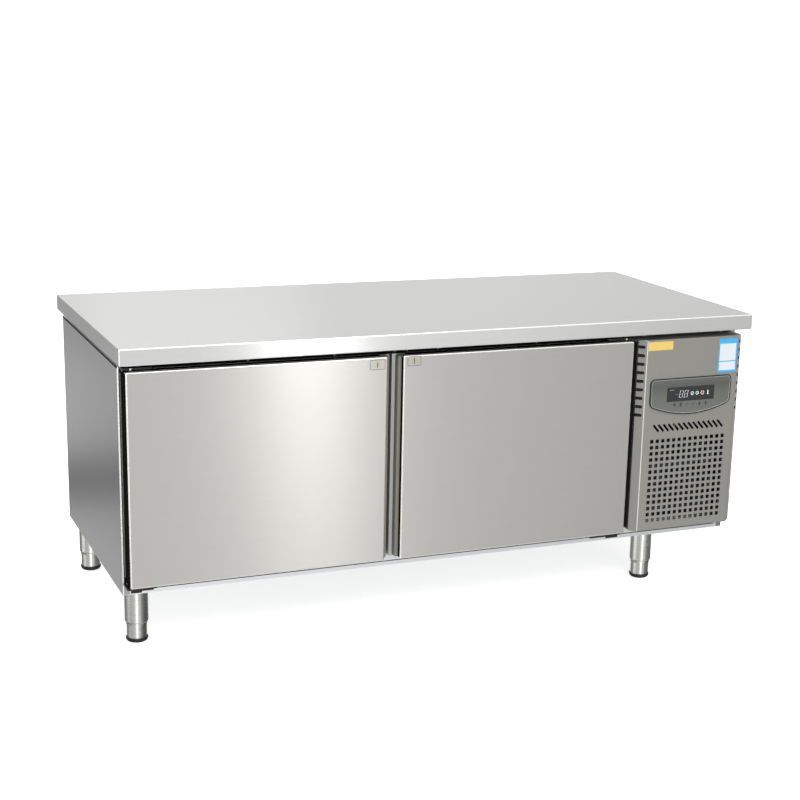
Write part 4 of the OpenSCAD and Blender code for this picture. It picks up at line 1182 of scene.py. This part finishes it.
class FRIDGE_OT_labels(FridgeOperator, bpy.types.Operator):
    """Adds the bare tags on the doors, the plain stickers and the frame's screws"""

    bl_idname = "fridge.labels"
    bl_label = "Tags, stickers and screws"

    SCREWS = (-560, -330, -162, -128, -40, 250, 590, 840)

    def door_tag(self, body, x, z):
        """A steel-coloured tag with a dark border and a plain star of three bars."""
        border = tag(f"{body}_tag_border", x, z, 0.3, 4)
        place(border, body, dark_print())
        plate = tag(f"{body}_tag", (x[0] + 1, x[1] - 1), (z[0] + 1, z[1] - 1), 0.45, 3.2)
        film = brushed_steel("tag film", "#CBC8BC", 0.4, 0.8 * MM)
        place(plate, body, film, grain=RIGHT)
        arms = []
        for angle in map(math.radians, (30, 90, 150)):
            across, up = 8 * math.cos(angle), 8 * math.sin(angle)
            arms.append((-across, -up, across, up, 1.5))
        origin = (sum(x) / 2 * MM, sum(z) / 2 * MM)
        star = sign(f"{body}_tag_sign", origin, FACE_Y - 0.5 * MM, arms)
        place(star, body, dark_print())

    def execute(self, context):
        self.door_tag("door_left", (-255, -213), (709, 735))
        self.door_tag("door_right", (-151, -113), (713, 739))
        # Printed film and paper under a thin clear coat: flat colours with a slight gloss
        yellow = printed("yellow film", colours().label_yellow, 0.4, 0.3)
        blue = printed("blue ink on paper", colours().label_blue, 0.45, 0.3)
        white = printed("white paper", "#B4B8BB", 0.5, 0.1)
        for name, x, z, thickness, radius, finish in (
            ("cover_sticker", (567, 646), (712, 736), 0.15, 0.6, yellow),
            ("paper_label_border", (797, 858), (637, 733), 0.15, 0.8, blue),
            ("paper_label_upper", (801, 854), (670, 719), 0.25, 0.5, white),
            ("paper_label_lower", (801, 854), (643, 667), 0.25, 0.5, white),
        ):
            place(tag(name, x, z, thickness, radius), "cabinet", finish)
        screw_row("frame_screws", self.SCREWS, FRAME_Y - MM, 740.5, 3.2)
        return {"FINISHED"}


class FRIDGE_OT_interior(FridgeOperator, bpy.types.Operator):
    """Finishes the compartments: liners, shelves and evaporators"""

    bl_idname = "fridge.interior"
    bl_label = "Compartments"

    def execute(self, context):
        liner = brushed_steel("liner satin steel", "#C9CBCC", 0.34, on_map=False)
        dress(liner, "inner_liners", "shelf_supports", "duct_covers")
        # Extruded PVC: dark grey, half matt
        dress(plastic("grey PVC profile", "#4A4C4E", 0.5), "breaker_frames")
        # Powder coating, baked: smooth white with a slight orange peel
        coating = plastic("white epoxy coating", "#E7E9E9", 0.35, 2, 0.02)
        dress(coating, "wire_shelves")
        # Rolled fin stock: pale and satin
        dress(polished_steel("fin aluminium", "#C4C7CA", 0.34), "evaporator_coils")
        dress(black_plastic(), "evaporator_motors", "evaporator_fan_left", "evaporator_fan_right")
        return {"FINISHED"}


class FRIDGE_OT_machinery(FridgeOperator, bpy.types.Operator):
    """Finishes the machine bay: compressor, condenser, fan and pipes"""

    bl_idname = "fridge.machinery"
    bl_label = "Machine bay"

    def execute(self, context):
        dress(black_enamel(), "compressor", "condenser_motor")
        # Moulded rubber: dull and nearly black
        dress(plastic("black rubber", "#161616", 0.65, 2), "compressor_fittings", "cable_gland")
        # Fins that have dulled in use
        aluminium = polished_steel("condenser aluminium", "#A9ADB0", 0.4)
        dress(aluminium, "condenser_coil", "condenser_fan")
        # Drawn tube: warm, with long soft highlights
        dress(polished_steel("drawn copper", "#C88158", 0.28), "refrigerant_lines")
        return {"FINISHED"}


class FRIDGE_OT_stage(FridgeOperator, bpy.types.Operator):
    """Sets up the floor, the lights, the room and the camera"""

    bl_idname = "fridge.stage"
    bl_label = "Studio"

    EYE = (-1.69777, -4.14684, 1.59306)
    EYE_TURN = (1.3088038, -0.0281075, -0.4131581)
    LENS, SHIFT = 72.17, (-0.0648, 0.0563)

    # Brighter and darker parts of the room. Each has its factor, then for each of its edges the
    # axis of the direction looked in, where the patch is whole and where it has faded out.
    PATCHES = (
        (0.38, ("X", -0.36, -0.1)),
        (0.96, ("Z", -0.1, 0.12)),
        (0.8, ("X", 0.6, 0.25)),
        # In front of the fridge: a flag, a dark low right and a glow; then the far left
        (0.5, ("Y", -0.6, -0.3), ("X", 0.57, 0.4), ("Z", -0.22, -0.18)),
        (0.06, ("X", 0.88, 0.6), ("Z", -0.31, -0.26)),
        (3.2, ("X", -0.08, 0.08), ("X", -0.42, -0.6), ("Y", -0.68, -0.5)),
        (7.0, ("X", -0.95, -0.86), ("Z", -0.29, -0.33)),
        # Overhead, which the folded edges mirror
        (3.0, ("Z", 0.75, 0.55), ("Y", -0.15, 0.05)),
        # Behind the fridge: a thin dark band along the horizon, and a dimmer one above it
        (0.2, ("Z", -0.276, -0.258), ("Z", -0.282, -0.302), ("Y", 0.9, 0.7)),
        (0.75, ("Z", -0.19, -0.215), ("Z", -0.11, -0.06), ("Y", 0.9, 0.7)),
        # A wing at the left, which the side panel mirrors, and a fill all over the front
        (2.3, ("X", -0.62, -0.5), ("X", -0.8, -0.88), ("Y", -0.35, -0.2)),
        (1.5, ("X", 0.45, 0.3), ("Z", -0.15, -0.19), ("Z", 0.1, 0.25)),
    )

    def backdrop(self, part, name, scale, glow):
        """Gives the floor or the wall a matt pale paint with a faint mottle, which glows."""
        tone = colours().floor
        paint = new_finish(
            name, shades(tone, (0.3, 0.985), (0.7, 1.0)), 0.9, (scale,) * 3,
            Emission_Color=linear(tone), Emission_Strength=glow,
        )
        part.data.materials.append(paint)
        part.visible_glossy = False
        clear_selection()

    def floor(self):
        clear_selection()
        bpy.ops.mesh.primitive_circle_add(vertices=96, radius=40, fill_type="TRIFAN")
        self.backdrop(name_new("studio_floor"), "pale studio floor", 2, 0.7)

    def wall(self):
        """A pale wall far away all round, which only the camera sees."""
        clear_selection()
        bpy.ops.mesh.primitive_cylinder_add(
            vertices=96, radius=39.5, depth=40, location=(0, 0, 19), end_fill_type="NOTHING"
        )
        wall = name_new("studio_wall")
        pick(wall, "FACE", everything)
        bpy.ops.mesh.flip_normals()
        wall.visible_diffuse = wall.visible_shadow = wall.visible_transmission = False
        self.backdrop(wall, "pale studio wall", 1, 1.1)

    def light(self, kind, name, power, spot, target, **settings):
        clear_selection()
        direction = Vector(target) - Vector(spot)
        turn = direction.to_track_quat("-Z", "Y").to_euler()
        bpy.ops.object.light_add(type=kind, location=spot, rotation=turn)
        lamp = bpy.context.object
        lamp.name = name
        lamp.data.energy = power
        for key, value in settings.items():
            setattr(lamp.data, key, value)
        lamp.visible_camera = False

    def room(self, context):
        """A pale room, brighter and darker by its patches."""
        world = bpy.data.worlds.new("studio")
        context.scene.world = world
        world.use_nodes = True
        tree = world.node_tree
        way = add(tree, "ShaderNodeTexCoord").outputs["Generated"]
        parts = add(tree, "ShaderNodeSeparateXYZ", {"Vector": way}).outputs

        def product(factors):
            total = factors[0]
            for factor in factors[1:]:
                step = add(tree, "ShaderNodeMath", {0: total, 1: factor}, operation="MULTIPLY")
                total = step.outputs[0]
            return total

        shares = []
        for share, *edges in self.PATCHES:
            masks = [
                add(
                    tree, "ShaderNodeMapRange", {"Value": parts[axis]},
                    {"From Min": whole, "From Max": gone, "To Min": 1.0, "To Max": 0.0},
                    interpolation_type="SMOOTHSTEP",
                ).outputs["Result"]
                for axis, whole, gone in edges
            ]
            shares.append(
                add(
                    tree, "ShaderNodeMapRange", {"Value": product(masks)},
                    {"To Min": 1.0, "To Max": share},
                ).outputs["Result"]
            )
        background = tree.nodes["Background"].inputs
        tree.links.new(product(shares), background["Color"])
        background["Strength"].default_value = context.scene.fridge_light.sky

    def camera(self, context):
        clear_selection()
        bpy.ops.object.camera_add(location=self.EYE, rotation=self.EYE_TURN)
        camera = context.object
        camera.name = "studio_camera"
        camera.data.sensor_width = 36
        camera.data.lens = self.LENS
        camera.data.shift_x, camera.data.shift_y = self.SHIFT
        camera.data.clip_end = 200
        context.scene.camera = camera

    def execute(self, context):
        power = context.scene.fridge_light
        self.camera(context)
        self.floor()
        self.wall()
        self.light("SUN", "key_light", power.sun, (-2, -5, 6), (0, 0, 0.3), angle=math.radians(30))
        self.light("AREA", "strip_light", power.strip, (1.1, -4.9, 1.8), (-0.36, -0.4, 1.0),
                   shape="RECTANGLE", size=0.26, size_y=3.4)
        self.light("AREA", "top_light", power.top, (0.6, 3.8, 3.8), (-0.4, 0, 0.8),
                   shape="RECTANGLE", size=1.3, size_y=2.0)
        self.room(context)
        context.scene.view_settings.view_transform = "Standard"
        return {"FINISHED"}


OPERATORS = (
    FRIDGE_OT_stage, FRIDGE_OT_worktop, FRIDGE_OT_shell, FRIDGE_OT_doors, FRIDGE_OT_hinges,
    FRIDGE_OT_cover, FRIDGE_OT_panel, FRIDGE_OT_keys, FRIDGE_OT_legs, FRIDGE_OT_labels,
    FRIDGE_OT_interior, FRIDGE_OT_machinery,
)


class FRIDGE_PT_dressing(bpy.types.Panel):
    """Lists the fridge's pieces in the order that they are made"""

    bl_idname = "FRIDGE_PT_dressing"
    bl_label = "Fridge"
    bl_space_type = "VIEW_3D"
    bl_region_type = "UI"
    bl_category = "Fridge"

    def draw(self, context):
        column = self.layout.column()
        for operator in OPERATORS:
            column.operator(operator.bl_idname)
        for group in ("fridge_sizes", "fridge_colours", "fridge_light"):
            settings = getattr(context.scene, group)
            for key in settings.__annotations__:
                column.prop(settings, key)


GROUPS = {"fridge_sizes": FridgeSizes, "fridge_colours": FridgeColours, "fridge_light": FridgeLight}
CLASSES = (*GROUPS.values(), *OPERATORS, FRIDGE_PT_dressing)


def register():
    for item in CLASSES:
        bpy.utils.register_class(item)
    for name, group in GROUPS.items():
        setattr(bpy.types.Scene, name, bpy.props.PointerProperty(type=group))


def unregister():
    for name in GROUPS:
        delattr(bpy.types.Scene, name)
    for item in reversed(CLASSES):
        bpy.utils.unregister_class(item)


def main():
    register()
    for operator in OPERATORS:
        family, name = operator.bl_idname.split(".")
        getattr(getattr(bpy.ops, family), name)()
    clear_selection()


if __name__ == "__main__":
    main()
